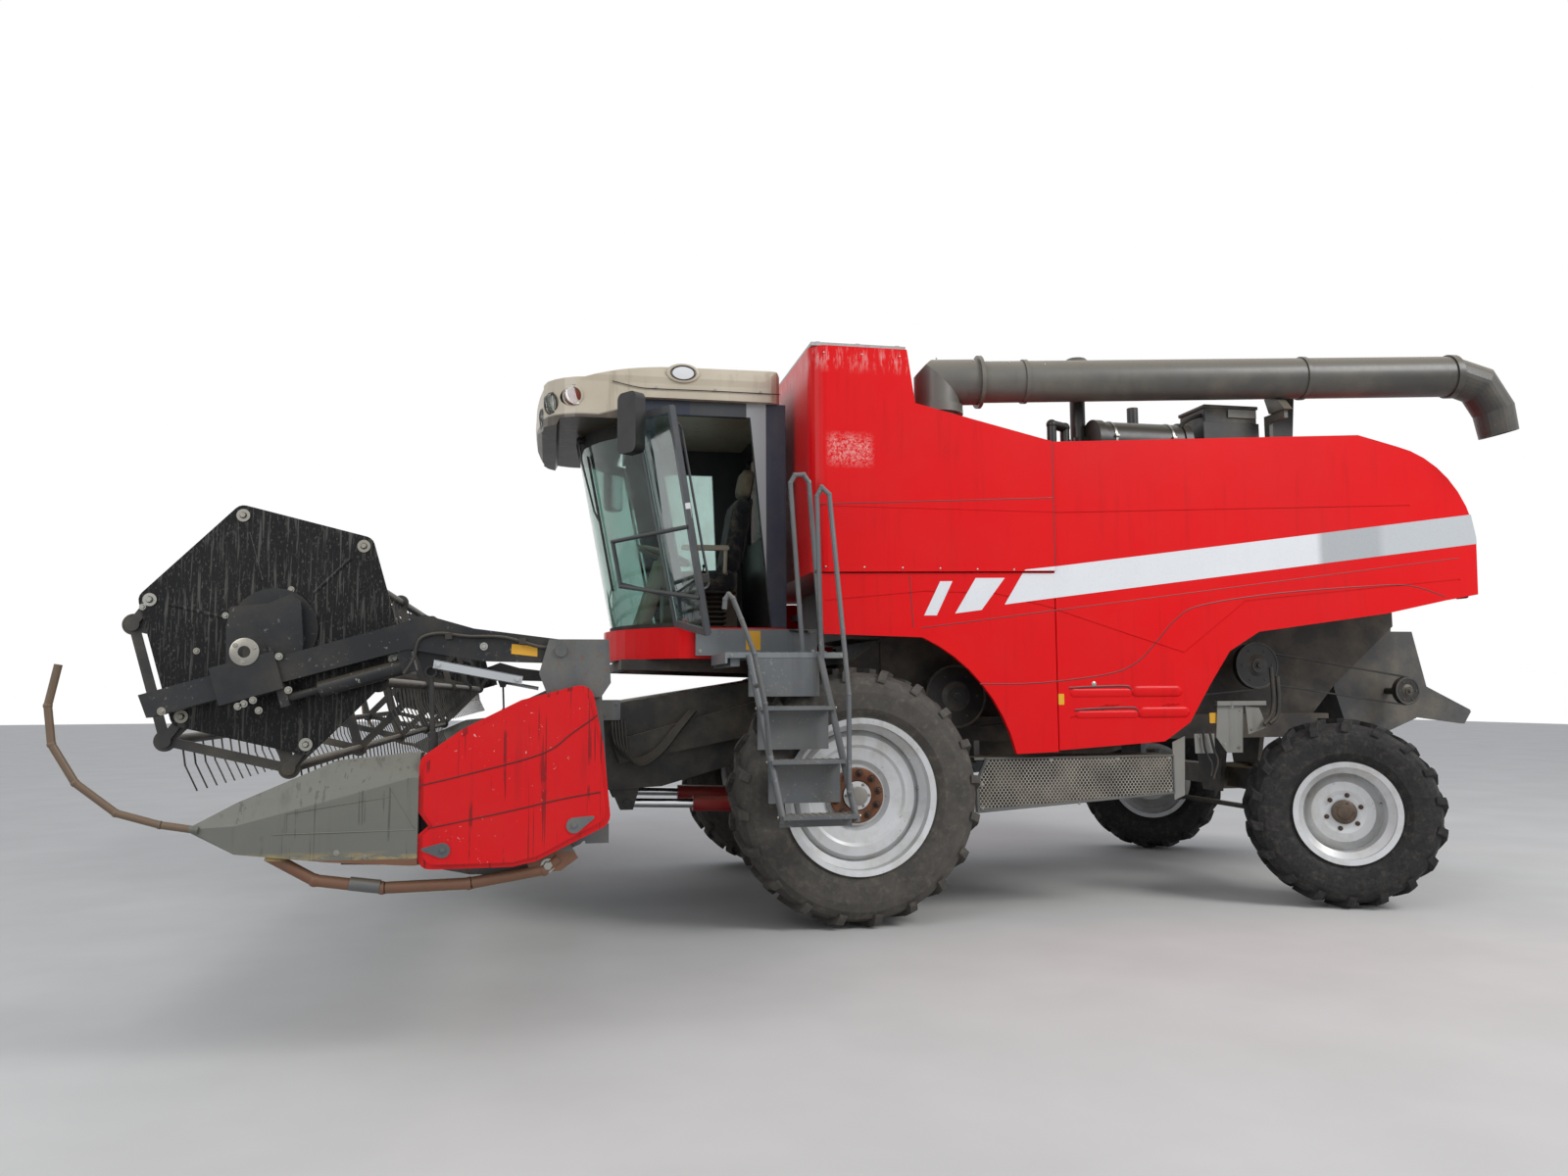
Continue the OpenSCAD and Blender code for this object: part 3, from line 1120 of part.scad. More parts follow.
// Moulded outer covers of the header's ends, on studs from the end sheets
function cover_outline(e) = concat(
  arc([e - 2440, 1225 - e], 60, 180, 128, 3), [[e - 2330, 1375 - e], [-2100, 1490 - e]],
  arc([-1860 - e, 1490 - e], 60, 100, 10, 4), [[-1760 - e, 1300]],
  arc([-1790 - e, 1010 + e], 60, 0, -55, 3), [[-2030, 830 + e]],
  arc([-2130, 870 + e], 60, 290, 270, 2), [[e - 2440, 810 + e]],
  arc([e - 2450, 860 + e], 50, 250, 180, 3),
  [[e - 2500, 950], [e - 2460, 985], [e - 2500, 1040]]);
cover_y = header_half + 85;
module end_covers() color("#c0201d") placed() both() {
  side(-cover_y - 20, -cover_y) polygon(cover_outline(0));
  side(-cover_y - 34, -cover_y - 19) polygon(cover_outline(20));
  for (p = [[-2400, 860], [-2300, 1330], [-1900, 1480], [-1850, 950]])
    axle(p.x, -cover_y - 1, -header_half - seat_gap, p.y, 14);
}

/* Reel */

reel_at = [-3190, 1690];
reel_half = 3640;
plate_off = [plate_offset_x, plate_offset_z];
// Angle of the first bat about the reel's shaft
bat_angle = 46;
bat_r = 22;
crank_pin_r = 12;
journal_r = 30;
// Slope of the arms where the carriages slide
arm_slope = 16;
arm_front = [-3560, 1475];
arm_bend = arm_front + turned([1040, 0], arm_slope);
// A point at d along an arm's straight part and h across it
function slide_at(d, h) = arm_front + turned([d, h], arm_slope);
slide_rod_r = 16;

// Arms of the reel: bent box beams with the barrels of the slide cylinders
module reel_arms() color("#3c3d3f") placed() both() {
  difference() {
    side(-arm_y - 45, 45 - arm_y) polygon([slide_at(0, -48), slide_at(1020, -56),
      arm_pivot + [-330, -40], arm_pivot + [0, -50], arm_pivot + [44, -30], arm_pivot + [44, 30],
      arm_pivot + [0, 50], arm_pivot + [-360, 95], slide_at(1120, 66), slide_at(1020, 56),
      slide_at(-8, 48)]);
    axle(arm_pivot.x, -arm_y - 46, 46 - arm_y, arm_pivot.y, arm_pin_r + run_fit);
  }
  // Bracket behind the eye of the reel's lift cylinder
  side(-arm_y - 8, 44 - arm_y) polygon([reel_lift_eye + [-70, 90], reel_lift_eye + [70, 90],
    reel_lift_eye + [26, -24], reel_lift_eye + [-26, -24]]);
  // Barrel of the slide cylinder with its bracket below the beam
  difference() {
    slide_bar(640, 1000, 34);
    slide_bar(639, 985, slide_rod_r + run_fit);
  }
  side(-arm_y - 38, 38 - arm_y) polygon([slide_at(975, -150), slide_at(1030, -150),
    slide_at(1030, -50), slide_at(975, -50)]);
}
// A round bar along the left arm, below its sleeve, from d0 to d1
module slide_bar(d0, d1, r) {
  p = slide_at(d0, -118);
  q = slide_at(d1, -118);
  bar([p.x, -arm_y, p.y], [q.x, -arm_y, q.y], r);
}

// Carriages: sleeves on the arms, bearing plates, and discs with the control plates' rollers
module reel_carriages() color("#3c3d3f") placed() both() {
  difference() {
    union() {
      side(-arm_y - 62, 62 - arm_y) polygon([slide_at(270, -78), slide_at(520, -78),
        slide_at(520, 78), slide_at(270, 78)]);
      side(46 - arm_y, 62 - arm_y) polygon([slide_at(270, -20), slide_at(520, -20),
        for (q = [[195, -20], [200, 40], [185, 215], [145, 245], [60, 205], [-85, 190],
          [-100, 110], [-95, -60]]) reel_at + q]);
      axle(reel_at.x, 40 - arm_y, 70 - arm_y, reel_at.y, 62);
      side(-arm_y - 30, 30 - arm_y) polygon([slide_at(485, -77), slide_at(520, -77),
        slide_at(520, -150), slide_at(485, -150)]);
      for (a = [0, 100, -100]) {
        p = reel_at + plate_off + turned([hub_hole_r - 18 - seat_gap, 0], plate_dir + a);
        axle(p.x, 61 - arm_y, -plate_y - 6, p.y, 10);
        axle(p.x, -plate_y - 8, 8 - plate_y, p.y, 18);
      }
      axle(reel_at.x + plate_off.x, -plate_y - 12, -plate_y - 7, reel_at.y + plate_off.y,
        hub_hole_r + 14);
      slide_bar(500, 860, slide_rod_r);
    }
    side(-arm_y - 45.3, 45.3 - arm_y) polygon([slide_at(-100, -50), slide_at(1019, -57),
      slide_at(1019, 57), slide_at(-100, 49)]);
    axle(reel_at.x, -arm_y, 200 - arm_y, reel_at.y, journal_r + run_fit);
  }
}

// Outer face of the control plates and the hole they run in on the rollers
plate_y = reel_half + 40;
plate_dir = atan2(plate_off.y, plate_off.x);
hub_hole_r = norm(plate_off) + journal_r + 8;

// Reel: shaft with five six-armed spiders that carry the bats
spider_t = 8;
module reel() color("#2a2a2c") placed() translate([reel_at.x, 0, reel_at.y]) {
  axle(0, -reel_half - 4, reel_half + 4, 0, shaft_r);
  axle(0, -arm_y + 30, arm_y - 30, 0, journal_r);
  for (y = [-reel_half, -12 * tine_pitch, 0, 12 * tine_pitch, reel_half])
    side(y - spider_t / 2, y + spider_t / 2) difference() {
      union() {
        circle(r = 115);
        for (k = [0 : 5]) rotate(bat_angle + 60 * k) {
          translate([0, -26]) square([bat_circle, 52]);
          translate([bat_circle, 0]) circle(r = 44);
          translate([bat_circle, 0]) rotate(120) translate([0, -20]) square([bat_circle, 40]);
        }
      }
      for (k = [0 : 5]) rotate(bat_angle + 60 * k) translate([bat_circle, 0])
        circle(r = bat_r + run_fit);
    }
}
shaft_r = 60;

// Bat k: tube with hanging spring tines, and a crank at each end
module bat(k) {
  at = reel_at + bat_circle * [cos(bat_angle + 60 * k), sin(bat_angle + 60 * k)];
  n = floor((reel_half - 30) / tine_pitch);
  translate([at.x, 0, at.y]) {
    axle(0, -reel_half - 22, reel_half + 22, 0, bat_r);
    for (i = [0.5 - n : n - 0.5]) translate([0, i * tine_pitch, 0]) {
      bar([0, 0, 0], [tine_len * 0.08, 0, -tine_len * 0.5], tine_r);
      bar([tine_len * 0.075, 0, -tine_len * 0.48], [tine_len * 0.3, 0, -tine_len * 0.95],
        tine_r - 0.5);
    }
    both() {
      side(-reel_half - 22, -reel_half - 10) {
        rotate(plate_dir) translate([0, -18]) square([norm(plate_off), 36]);
        circle(r = bat_r + 6);
        translate(plate_off) circle(r = 22);
      }
      axle(plate_off.x, -plate_y - 4, -reel_half - 11, plate_off.y, crank_pin_r);
    }
  }
}
tine_r = 4;
module bat_1() color("#2a2a2c") placed() bat(0);
module bat_2() color("#2a2a2c") placed() bat(1);
module bat_3() color("#2a2a2c") placed() bat(2);
module bat_4() color("#2a2a2c") placed() bat(3);
module bat_5() color("#2a2a2c") placed() bat(4);
module bat_6() color("#2a2a2c") placed() bat(5);

// Six-sided control plates outside the reel's ends, which keep the tines upright
module control_plates() color("#1f1f21") placed() both()
  side(-plate_y, 6 - plate_y) translate(reel_at + plate_off) difference() {
    polygon([for (k = [0 : 5]) each arc(bat_circle * [cos(bat_angle + 60 * k),
      sin(bat_angle + 60 * k)], 44, bat_angle + 60 * k - 30, bat_angle + 60 * k + 30, 3)]);
    circle(r = hub_hole_r);
    for (k = [0 : 5]) rotate(bat_angle + 60 * k) translate([bat_circle, 0])
      circle(r = crank_pin_r + run_fit);
  }

// Lift cylinders of the reel
reel_lift_angle = atan2(reel_lift_eye.y - reel_lift_foot.y, reel_lift_eye.x - reel_lift_foot.x);
reel_lift_length = norm(reel_lift_eye - reel_lift_foot);
reel_rod_r = 10;
module reel_lift_place() translate([reel_lift_foot.x, -reel_lift_y, reel_lift_foot.y])
  rotate([0, 90 - reel_lift_angle, 0]) children();
module reel_lift_barrels() color("#3c3d3f") placed() both() reel_lift_place() difference() {
  union() {
    cylinder(r = 20, h = 400);
    axle(0, -10, 10, 0, 24);
  }
  axle(0, -21, 21, 0, small_pin_r + run_fit);
  translate([0, 0, 60]) cylinder(r = reel_rod_r + run_fit, h = 341);
}
module reel_lift_rods() color("#3c3d3f") placed() both() reel_lift_place() difference() {
  union() {
    translate([0, 0, 180]) cylinder(r = reel_rod_r, h = reel_lift_length - 180);
    translate([0, 0, reel_lift_length]) axle(0, -12, 12, 0, 26);
  }
  translate([0, 0, reel_lift_length]) axle(0, -13, 13, 0, small_pin_r + 7);
}

frame();
front_axle();
rear_axle();
grain_tank();
tank_lid();
side_panels();
straw_hood();
engine_block();
engine_fittings();
tube_elbow();
chopper();
belt_drive();
belt_guards();
cab_base();
cab_frame();
cab_roof();
cab_glass();
seat();
console();
mirrors();
roof_lamps();
platform();
ladder();
door_frame();
door_glass();
unloading_tube();
rim_front_left();
rim_front_right();
tyre_front_left();
tyre_front_right();
knuckle_left();
knuckle_right();
rim_rear_left();
rim_rear_right();
tyre_rear_left();
tyre_rear_right();
tie_rod();
feeder_house();
header_table();
auger();
knife_bar();
dividers();
end_covers();
reel_arms();
reel_carriages();
reel();
bat_1();
bat_2();
bat_3();
bat_4();
bat_5();
bat_6();
control_plates();
lift_barrels();
lift_rods();
reel_lift_barrels();
reel_lift_rods();
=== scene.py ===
"""Combine harvester with its grain header, dressed for looks.

Metres; the machine drives towards -X, its left is -Y. Shapes are drawn in millimetres from the front
axle, as in the construction, and piece() moves them into the model's own frame.
"""
import functools
import math

import bmesh
import bpy
import numpy as np
from mathutils import Matrix


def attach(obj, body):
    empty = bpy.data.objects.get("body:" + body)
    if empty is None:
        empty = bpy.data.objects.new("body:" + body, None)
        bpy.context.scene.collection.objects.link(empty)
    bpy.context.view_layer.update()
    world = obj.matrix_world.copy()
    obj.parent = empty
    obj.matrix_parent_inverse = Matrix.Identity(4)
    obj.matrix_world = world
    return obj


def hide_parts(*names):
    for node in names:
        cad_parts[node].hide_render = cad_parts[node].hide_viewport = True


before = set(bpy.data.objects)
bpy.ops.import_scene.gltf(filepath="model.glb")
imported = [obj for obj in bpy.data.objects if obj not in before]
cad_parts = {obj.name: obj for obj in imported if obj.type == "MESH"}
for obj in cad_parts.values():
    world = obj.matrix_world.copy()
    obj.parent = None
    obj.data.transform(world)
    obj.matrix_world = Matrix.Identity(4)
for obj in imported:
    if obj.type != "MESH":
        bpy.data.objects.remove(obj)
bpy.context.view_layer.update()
# X of the front axle in the model's frame, in millimetres, and the direction out of a left wall
AXLE_X = -752.5
LEFT = (0, -1, 0)


# Shapes

def grid(rows, close_u=False, close_v=False, cap=False):
    """Faces over an (n, m) grid of points; rows wrap round where closed, ends may be capped with a face."""
    n, m = rows.shape[:2]
    i = np.arange(n if close_u else n - 1)[:, None]
    j = np.arange(m if close_v else m - 1)[None, :]
    a, b = i * m + j, i * m + (j + 1) % m
    c, d = ((i + 1) % n) * m + (j + 1) % m, ((i + 1) % n) * m + j
    faces = np.stack([a, b, c, d], -1).reshape(-1, 4).tolist()
    if cap:
        faces += [list(range(m))[::-1], list(range((n - 1) * m, n * m))]
    return rows.reshape(-1, 3), faces


def loft(rows):
    """Closed rings joined one after the other, with a face on each end."""
    return grid(rows, False, True, cap=True)


def tube(path, radius, sides=10, closed=False):
    """A tube: each point of the path carries a ring, radius times (cos, sin) in the plane across it."""
    path = np.asarray(path, float)
    step = np.gradient(path, axis=0) if not closed else np.roll(path, -1, 0) - np.roll(path, 1, 0)
    step /= np.linalg.norm(step, axis=1)[:, None]
    # the reference direction is the axis that the path runs along least
    lean = np.eye(3)[np.argmin(np.abs(step).max(axis=0))]
    side = np.cross(step, lean)
    side /= np.linalg.norm(side, axis=1)[:, None]
    up = np.cross(step, side)
    turn = np.linspace(0, 2 * np.pi, sides, endpoint=False)[None, :, None]
    radius = np.broadcast_to(radius, len(path))[:, None, None]
    ring = path[:, None] + radius * (np.cos(turn) * side[:, None] + np.sin(turn) * up[:, None])
    return grid(ring, closed, True, not closed)


def smooth_path(points, n=8):
    """Catmull-Rom curve through the points: cubic weights of four neighbours, n steps each."""
    p = np.asarray(points, float)
    p = np.vstack([2 * p[0] - p[1], p, 2 * p[-1] - p[-2]])
    t = np.linspace(0, 1, n, endpoint=False)[:, None]
    rows = [0.5 * (2 * b + (c - a) * t + (2 * a - 5 * b + 4 * c - d) * t ** 2
                   + (3 * b - a - 3 * c + d) * t ** 3)
            for a, b, c, d in zip(p[:-3], p[1:-2], p[2:-1], p[3:])]
    return np.vstack(rows + [p[-2:-1]])


def basis(axis):
    """Two directions across an axis, so that (first, second, axis) turn right-handed."""
    axis = np.array(axis, float) / np.linalg.norm(axis)
    first = np.cross([0, 0, 1] if abs(axis[2]) < 0.9 else [1, 0, 0], axis)
    first /= np.linalg.norm(first)
    return first, np.cross(axis, first), axis


def lathe(profile, sides, centre=(0, 0, 0), axis=(0, 0, 1), closed=False):
    """A profile of (radius, height) turned round an axis: radius times (cos, sin) across, height along."""
    profile = np.asarray(profile, float)
    first, second, axis = basis(axis)
    turn = np.linspace(0, 2 * np.pi, sides, endpoint=False)[None, :, None]
    ring = (np.cos(turn) * first + np.sin(turn) * second) * profile[:, :1, None]
    rows = np.asarray(centre, float).reshape(1, 1, 3) + ring + profile[:, 1:, None] * axis
    return grid(rows, closed, True, not closed)


def prism(outline, low, high, across="y"):
    """A flat outline as thick as from low to high: two copies of it, joined by side walls.
    The outline's plane is XZ for across y, YZ for across x and XY for across z."""
    outline = np.asarray(outline, float)
    order = {"y": (0, 2, 1), "x": (1, 2, 0), "z": (0, 1, 2)}[across]
    rows = np.zeros((2, len(outline), 3))
    rows[:, :, order[0]], rows[:, :, order[1]] = outline[:, 0], outline[:, 1]
    rows[0, :, order[2]], rows[1, :, order[2]] = low, high
    return loft(rows)


def rounded(a, b, r, n=5):
    """Outline of a rectangle from corner a to corner b whose corners are quarter circles of radius r."""
    turn = np.linspace(0, np.pi / 2, n + 1)
    rows = [np.stack([cx + r * np.cos(turn + k * np.pi / 2), cy + r * np.sin(turn + k * np.pi / 2)], 1)
            for k, (cx, cy) in enumerate([(b[0] - r, b[1] - r), (a[0] + r, b[1] - r),
                                          (a[0] + r, a[1] + r), (b[0] - r, a[1] + r)])]
    return np.vstack(rows)


def box(p, q):
    """A box between two corners."""
    (x0, y0, z0), (x1, y1, z1) = p, q
    return prism([(x0, y0), (x1, y0), (x1, y1), (x0, y1)], z0, z1, "z")


def copies(part, places):
    """One copy of a part at each place."""
    verts, faces = part
    places = np.asarray(places, float).reshape(-1, 3)
    shift = len(verts)
    rows = (verts[None] + places[:, None]).reshape(-1, 3)
    return rows, [[k + i * shift for k in f] for i in range(len(places)) for f in faces]


def turned_about(part, angle, centre, axis):
    """A part turned by an angle about an axis (Rodrigues' formula on whole arrays)."""
    verts, faces = part
    axis = np.array(axis, float) / np.linalg.norm(axis)
    v = verts - centre
    cos, sin = math.cos(angle), math.sin(angle)
    return centre + v * cos + np.cross(axis, v) * sin + np.outer(v @ axis, axis) * (1 - cos), faces


def mirrored(part, y=0.0):
    """The part and its mirror image about a plane of constant Y."""
    verts, faces = part
    other = verts * [1, -1, 1] + [0, 2 * y, 0]
    shift = len(verts)
    return np.vstack([verts, other]), faces + [[k + shift for k in f][::-1] for f in faces]


def flipped(part):
    """The mirror image alone, about the machine's centre plane."""
    return part[0] * [1, -1, 1], [f[::-1] for f in part[1]]


def joined(*parts):
    """Several parts as one list of points and faces."""
    verts, faces, shift = [], [], 0
    for v, f in parts:
        verts.append(v)
        faces += [[k + shift for k in face] for face in f]
        shift += len(v)
    return np.vstack(verts), faces


def piece(name, part, material, slot, body="machine", smooth=True, soften=0.0):
    """Makes one object of a part drawn in millimetres from the front axle; soften rounds its edges."""
    verts, faces = part
    verts = (verts + [AXLE_X, 0, 0]) * 0.001
    mesh = bpy.data.meshes.new(name)
    mesh.from_pydata(verts.tolist(), [], faces)
    mesh.validate()
    made = bpy.data.objects.new(name, mesh)
    bpy.context.scene.collection.objects.link(made)
    bpy.context.view_layer.objects.active = made
    work = bmesh.new()
    work.from_mesh(mesh)
    bmesh.ops.recalc_face_normals(work, faces=work.faces)
    work.to_mesh(mesh)
    work.free()
    mesh.materials.append(material)
    if smooth:
        mesh.polygons.foreach_set("use_smooth", np.ones(len(mesh.polygons), bool))
        mesh.set_sharp_from_angle(angle=math.radians(38))
    if soften:
        bevel = made.modifiers.new("soft edges", "BEVEL")
        bevel.width, bevel.segments, bevel.limit_method = soften / 1000, 2, "ANGLE"
    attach(made, body)
    return made


def both(name, part, *rest, **settings):
    """One object of a part and its mirror image on the machine's other side."""
    return piece(name, mirrored(part), *rest, **settings)


# Materials

def linear(code):
    """An sRGB hex colour as linear red, green, blue, alpha: the standard's curve on each channel."""
    c = np.array([int(code[i:i + 2], 16) for i in (1, 3, 5)]) / 255
    return (*np.where(c <= 0.04045, c / 12.92, ((c + 0.055) / 1.055) ** 2.4), 1.0)


def give(node, inputs):
    """Gives each named or numbered input of a node a value or a link."""
    for key, value in inputs.items():
        if isinstance(value, bpy.types.NodeSocket):
            node.id_data.links.new(value, node.inputs[key])
        else:
            node.inputs[key].default_value = value


def put(tree, kind, settings=None, inputs=None):
    """Adds a node to a tree, applies its settings and gives its inputs."""
    made = tree.nodes.new("ShaderNode" + kind)
    for key, value in (settings or {}).items():
        setattr(made, key, value)
    give(made, inputs or {})
    return made


def step(kind, settings, inputs, output=0):
    """One output of a new node that stands in the same tree as what is linked to it."""
    tree = next(value.id_data for value in inputs.values() if isinstance(value, bpy.types.NodeSocket))
    return put(tree, kind, settings, inputs).outputs[output]


def maths(how, *values, clamp=True):
    """One sum on one to three values."""
    return step("Math", {"operation": how, "use_clamp": clamp}, dict(enumerate(values)))


def times(*values):
    """The product of several values, kept between 0 and 1."""
    return functools.reduce(lambda a, b: maths("MULTIPLY", a, b), values)


def larger(a, b):
    """The larger of two values, kept between 0 and 1."""
    return maths("MAXIMUM", a, b)


def along(where, axis):
    """One coordinate of a place or a direction."""
    return step("SeparateXYZ", None, {0: where}, axis)


def rise(value, low, high, first=0.0, last=1.0):
    """A value turned into first at low, last at high, even between them and level beyond."""
    return step("MapRange", None, {0: value, 1: low, 2: high, 3: first, 4: last})


def between(where, axis, low, high, soft=0.004):
    """1 where the coordinate along an axis lies between two values in metres, with soft ends."""
    value = along(where, axis)
    return times(rise(value, low, low + soft), rise(value, high - soft, high, 1.0, 0.0))


def noise(where, size_mm, detail=4, rough=0.55, stretch=(1, 1, 1), distort=0.0):
    """Noise whose blotches are about size_mm wide."""
    if stretch != (1, 1, 1):
        where = step("Mapping", None, {0: where, 3: stretch})
    return step("TexNoise", None, {"Vector": where, "Scale": 1000 / size_mm, "Detail": detail,
                                   "Roughness": rough, "Distortion": distort})


def ramp(value, *stops):
    """A value through a ramp of two stops, each a place and a brightness or a hex colour."""
    made = put(value.id_data, "ValToRGB", None, {0: value})
    for stop, (spot, colour) in zip(made.color_ramp.elements, stops):
        stop.position = spot
        stop.color = linear(colour) if isinstance(colour, str) else (colour, colour, colour, 1)
    return made.outputs[0]


def blots(where, size_mm, low, high, detail=4, rough=0.55, stretch=(1, 1, 1), distort=0.0, least=0.0,
          most=1.0):
    """Blotches about size_mm wide: least where the noise is below low, most where it is above high."""
    return ramp(noise(where, size_mm, detail, rough, stretch, distort), (low, least), (high, most))


def blend(share, a, b):
    """Colour a where share is 0 and b where it is 1; a colour is a hex code or a link."""
    a, b = [linear(c) if isinstance(c, str) else c for c in (a, b)]
    return step("Mix", {"data_type": "RGBA"}, {0: share, 6: a, 7: b}, 2)


def relief(height, strength, metres):
    """The surface's direction, roughened by a height."""
    return step("Bump", None, {"Strength": strength, "Distance": metres, "Height": height})


def start(name):
    """A new material with its shader, and the place that patterns read."""
    made = bpy.data.materials.new(name)
    made.use_nodes = True
    tree = made.node_tree
    tree.nodes.clear()
    shader = put(tree, "BsdfPrincipled")
    put(tree, "OutputMaterial", None, {0: shader.outputs[0]})
    return made, shader, put(tree, "TexCoord").outputs["Object"]


DUST = "#a8997c"


def finish(name, colour, rough=0.45, faded=None, metallic=0.0, dust=0.35, chips=0.0, chip_colour="#5a3a26",
           streaks=0.0, streak_colour="#3a332a", coat=0.0, grain_mm=1.2, grain=0.05, fade_mm=900,
           extra=None, shine=0.5, uneven=0.12):
    """Paint, plating or moulding that has stood in the field: a faded base, rain streaks, chips through
    to what lies below, and dust that gathers on faces that look up and in soft blotches elsewhere."""
    made, shader, where = start(name)
    tint = blend(blots(where, fade_mm, 0.35, 0.72, 3), colour, faded or colour)
    if extra:
        tint = extra(where, tint)
    if streaks:
        fall = times(blots(where, 60, 0.52, 0.68, 5, 0.6, (1, 1, 0.06)), blots(where, 400, 0.4, 0.62, 2),
                     streaks)
        tint = blend(fall, tint, streak_colour)
    roughness = maths("ADD", rough - uneven / 2, times(noise(where, 35, 5), uneven))
    if chips:
        edge = 0.70 - 0.12 * chips
        spots = times(blots(where, 22, edge, edge + 0.02, 8, 0.7, distort=0.4),
                      blots(where, 350, 0.46, 0.58, 2))
        tint = blend(spots, tint, chip_colour)
        roughness = larger(roughness, times(spots, 0.85))
    # dust: most on top faces, and a thin film in blotches everywhere
    top = times(rise(along(where.node.outputs["Normal"], 2), 0.15, 1.0), min(1.0, 1.7 * dust))
    film = times(blots(where, 260, 0.42, 0.75, 6, 0.6), 0.75 * dust)
    lying = times(larger(top, film), blots(where, 9, 0.25, 0.7, 4, 0.7, least=0.55))
    give(shader, {"Base Color": blend(lying, tint, DUST), "Roughness": larger(roughness, times(lying, 0.9)),
                  "Metallic": metallic, "Coat Weight": coat, "Coat Roughness": 0.18,
                  "Specular IOR Level": shine, "Normal": relief(noise(where, grain_mm, 3), grain, 0.001)})
    return made


def worn_patch(where, tint):
    """Enamel rubbed pale on a patch near the front of the left tank wall, and washed along its top edge."""
    patch = times(between(where, 0, -0.95, -0.60, 0.06), between(where, 2, 3.01, 3.27, 0.07),
                  between(where, 1, -1.6, -1.3), blots(where, 17, 0.46, 0.60, 7, 0.75, distort=0.6), 0.55)
    edge = times(between(where, 2, 3.66, 3.88, 0.12),
                 blots(where, 28, 0.5, 0.62, 6, 0.7, (1, 1, 0.2), most=0.5))
    return blend(larger(patch, edge), tint, "#e9c4bd")


def by_place(*parts):
    """Other colours by place: each part is (hex, (axis, low, high), ...), with limits in metres."""
    def hook(where, tint):
        """Lays each part's colour over the tint within its limits."""
        for colour, *limits in parts:
            tint = blend(times(*[between(where, *limit) for limit in limits]), tint, colour)
        return tint

    return hook


def drips(where, tint):
    """Rain has run down the dusty sheet in close vertical runs and left pale beads between them."""
    runs = times(blots(where, 13, 0.54, 0.62, 4, 0.6, (1, 1, 0.05)), 0.35)
    beads = times(blots(where, 7, 0.58, 0.66, 3, 0.6, (1, 1, 0.45)), 0.30)
    return blend(larger(runs, beads), tint, "#77756f")


def stripe_grey_and_shade(where, tint):
    """The film is white at the front and grey on the rear half, in two steps, darkest between them: partly
    the film's silver grey, partly painted shade.
    """
    x = along(where, 0)
    return blend(rise(x, 3.25, 3.32), blend(rise(x, 2.74, 2.80), tint, "#a7abad"), "#b9bdbf")


def tube_shade(where, tint):
    """Painted shade: the tube is darker towards its spout."""
    return blend(rise(along(where, 0), 0.6, 4.1, 0.0, 0.9), tint, "#2c2b29")


def brow_shade(where, tint):
    """Painted shade on the brow's lower half, below a line that falls forwards: a dark brown."""
    x, z = along(where, 0), along(where, 2)
    fall = maths("SUBTRACT", z, maths("MULTIPLY", x, 0.3, clamp=False), clamp=False)
    line = times(rise(fall, 4.135, 4.15, 1.0, 0.0), rise(x, -2.22, -2.16, 1.0, 0.0))
    return blend(larger(line, rise(z, 3.405, 3.42, 1.0, 0.0)), tint, "#3d352c")


def rain_marks(where, tint):
    """Separate thin dark runs a hand's width apart, where rain carried dirt down the sheet."""
    runs = times(blots(where, 17, 0.61, 0.63, 3, 0.5, (1, 1, 0.02)), blots(where, 210, 0.44, 0.50, 3), 0.7)
    return blend(runs, tint, "#5e0d12")


ROD_RUST = by_place(("#6d4a35", (2, 0.6, 0.86)), ("#64513f", (0, -4.9, -4.12)))


def divider_places(where, tint):
    """The grey moulding has thin dark drips, its lower lip is rubbed to its yellow undercoat, and the rods
    below are rusty."""
    runs = times(blots(where, 15, 0.60, 0.62, 3, 0.5, (1, 1, 0.02)),
                 blots(where, 190, 0.44, 0.5, 3, most=0.6))
    lip = times(between(where, 2, 0.80, 0.895, 0.03), between(where, 0, -4.2, -2.95, 0.1),
                blots(where, 60, 0.46, 0.58, 6, 0.7, (0.25, 1, 1), most=0.75))
    return ROD_RUST(where, blend(lip, blend(runs, tint, "#33342f"), "#b39a55"))


def wheel_rings(where, tint):
    """Road dust lies on the rim in pale blotches."""
    return blend(blots(where, 120, 0.45, 0.75, 5, 0.6, most=0.5), tint, "#a8a294")


# enamel on pressed steel: bright and glossy, washed dull in vertical runs, pale where rubbed
RED = finish("body_enamel", "#dd050c", 0.30, "#d51016", dust=0.02, chips=0.2, chip_colour="#8a2a20",
             streaks=0.35, streak_colour="#b50b12", coat=0.06, fade_mm=1500, extra=worn_patch, shine=0.16,
             uneven=0.04, grain=0.02)
# painted shade: a dark red for the shade inside a pressed line, a louvre's slot or a groove
SEAM_SHADE = finish("pressed_seam_painted_shade", "#5a080e", 0.4, "#6a0c12", dust=0.05)
# the header's red sheet stands lower in the crop: darker drip marks, more rubbing
COVER_RED = finish("header_cover_enamel", "#d0070f", 0.30, "#c91218", dust=0.03, chips=0.35,
                   chip_colour="#d8b9ae", streaks=0.5, streak_colour="#8d0f18", coat=0.12, fade_mm=1500,
                   extra=rain_marks, shine=0.25, uneven=0.04, grain=0.02)
# chassis enamel under the panels, caked with chaff dust, in painted shade: dark grey where its own paint is
# dark red, for the shade under the panels; the rams keep their red
FRAME_SHADE_GREY = finish("chassis_enamel_painted_shade", "#2b2826", 0.6, "#38322e", dust=0.40, chips=0.6, streaks=0.2)
RAM_RED = finish("ram_enamel", "#a3131a", 0.4, "#8c1a1c", dust=0.25, chips=0.6, streaks=0.3)
# axle enamel: near black and matt under caked soil, chipped to rust
AXLE = finish("axle_enamel", "#2a2b2d", 0.55, "#38332e", dust=0.5, chips=0.7, streaks=0.3)
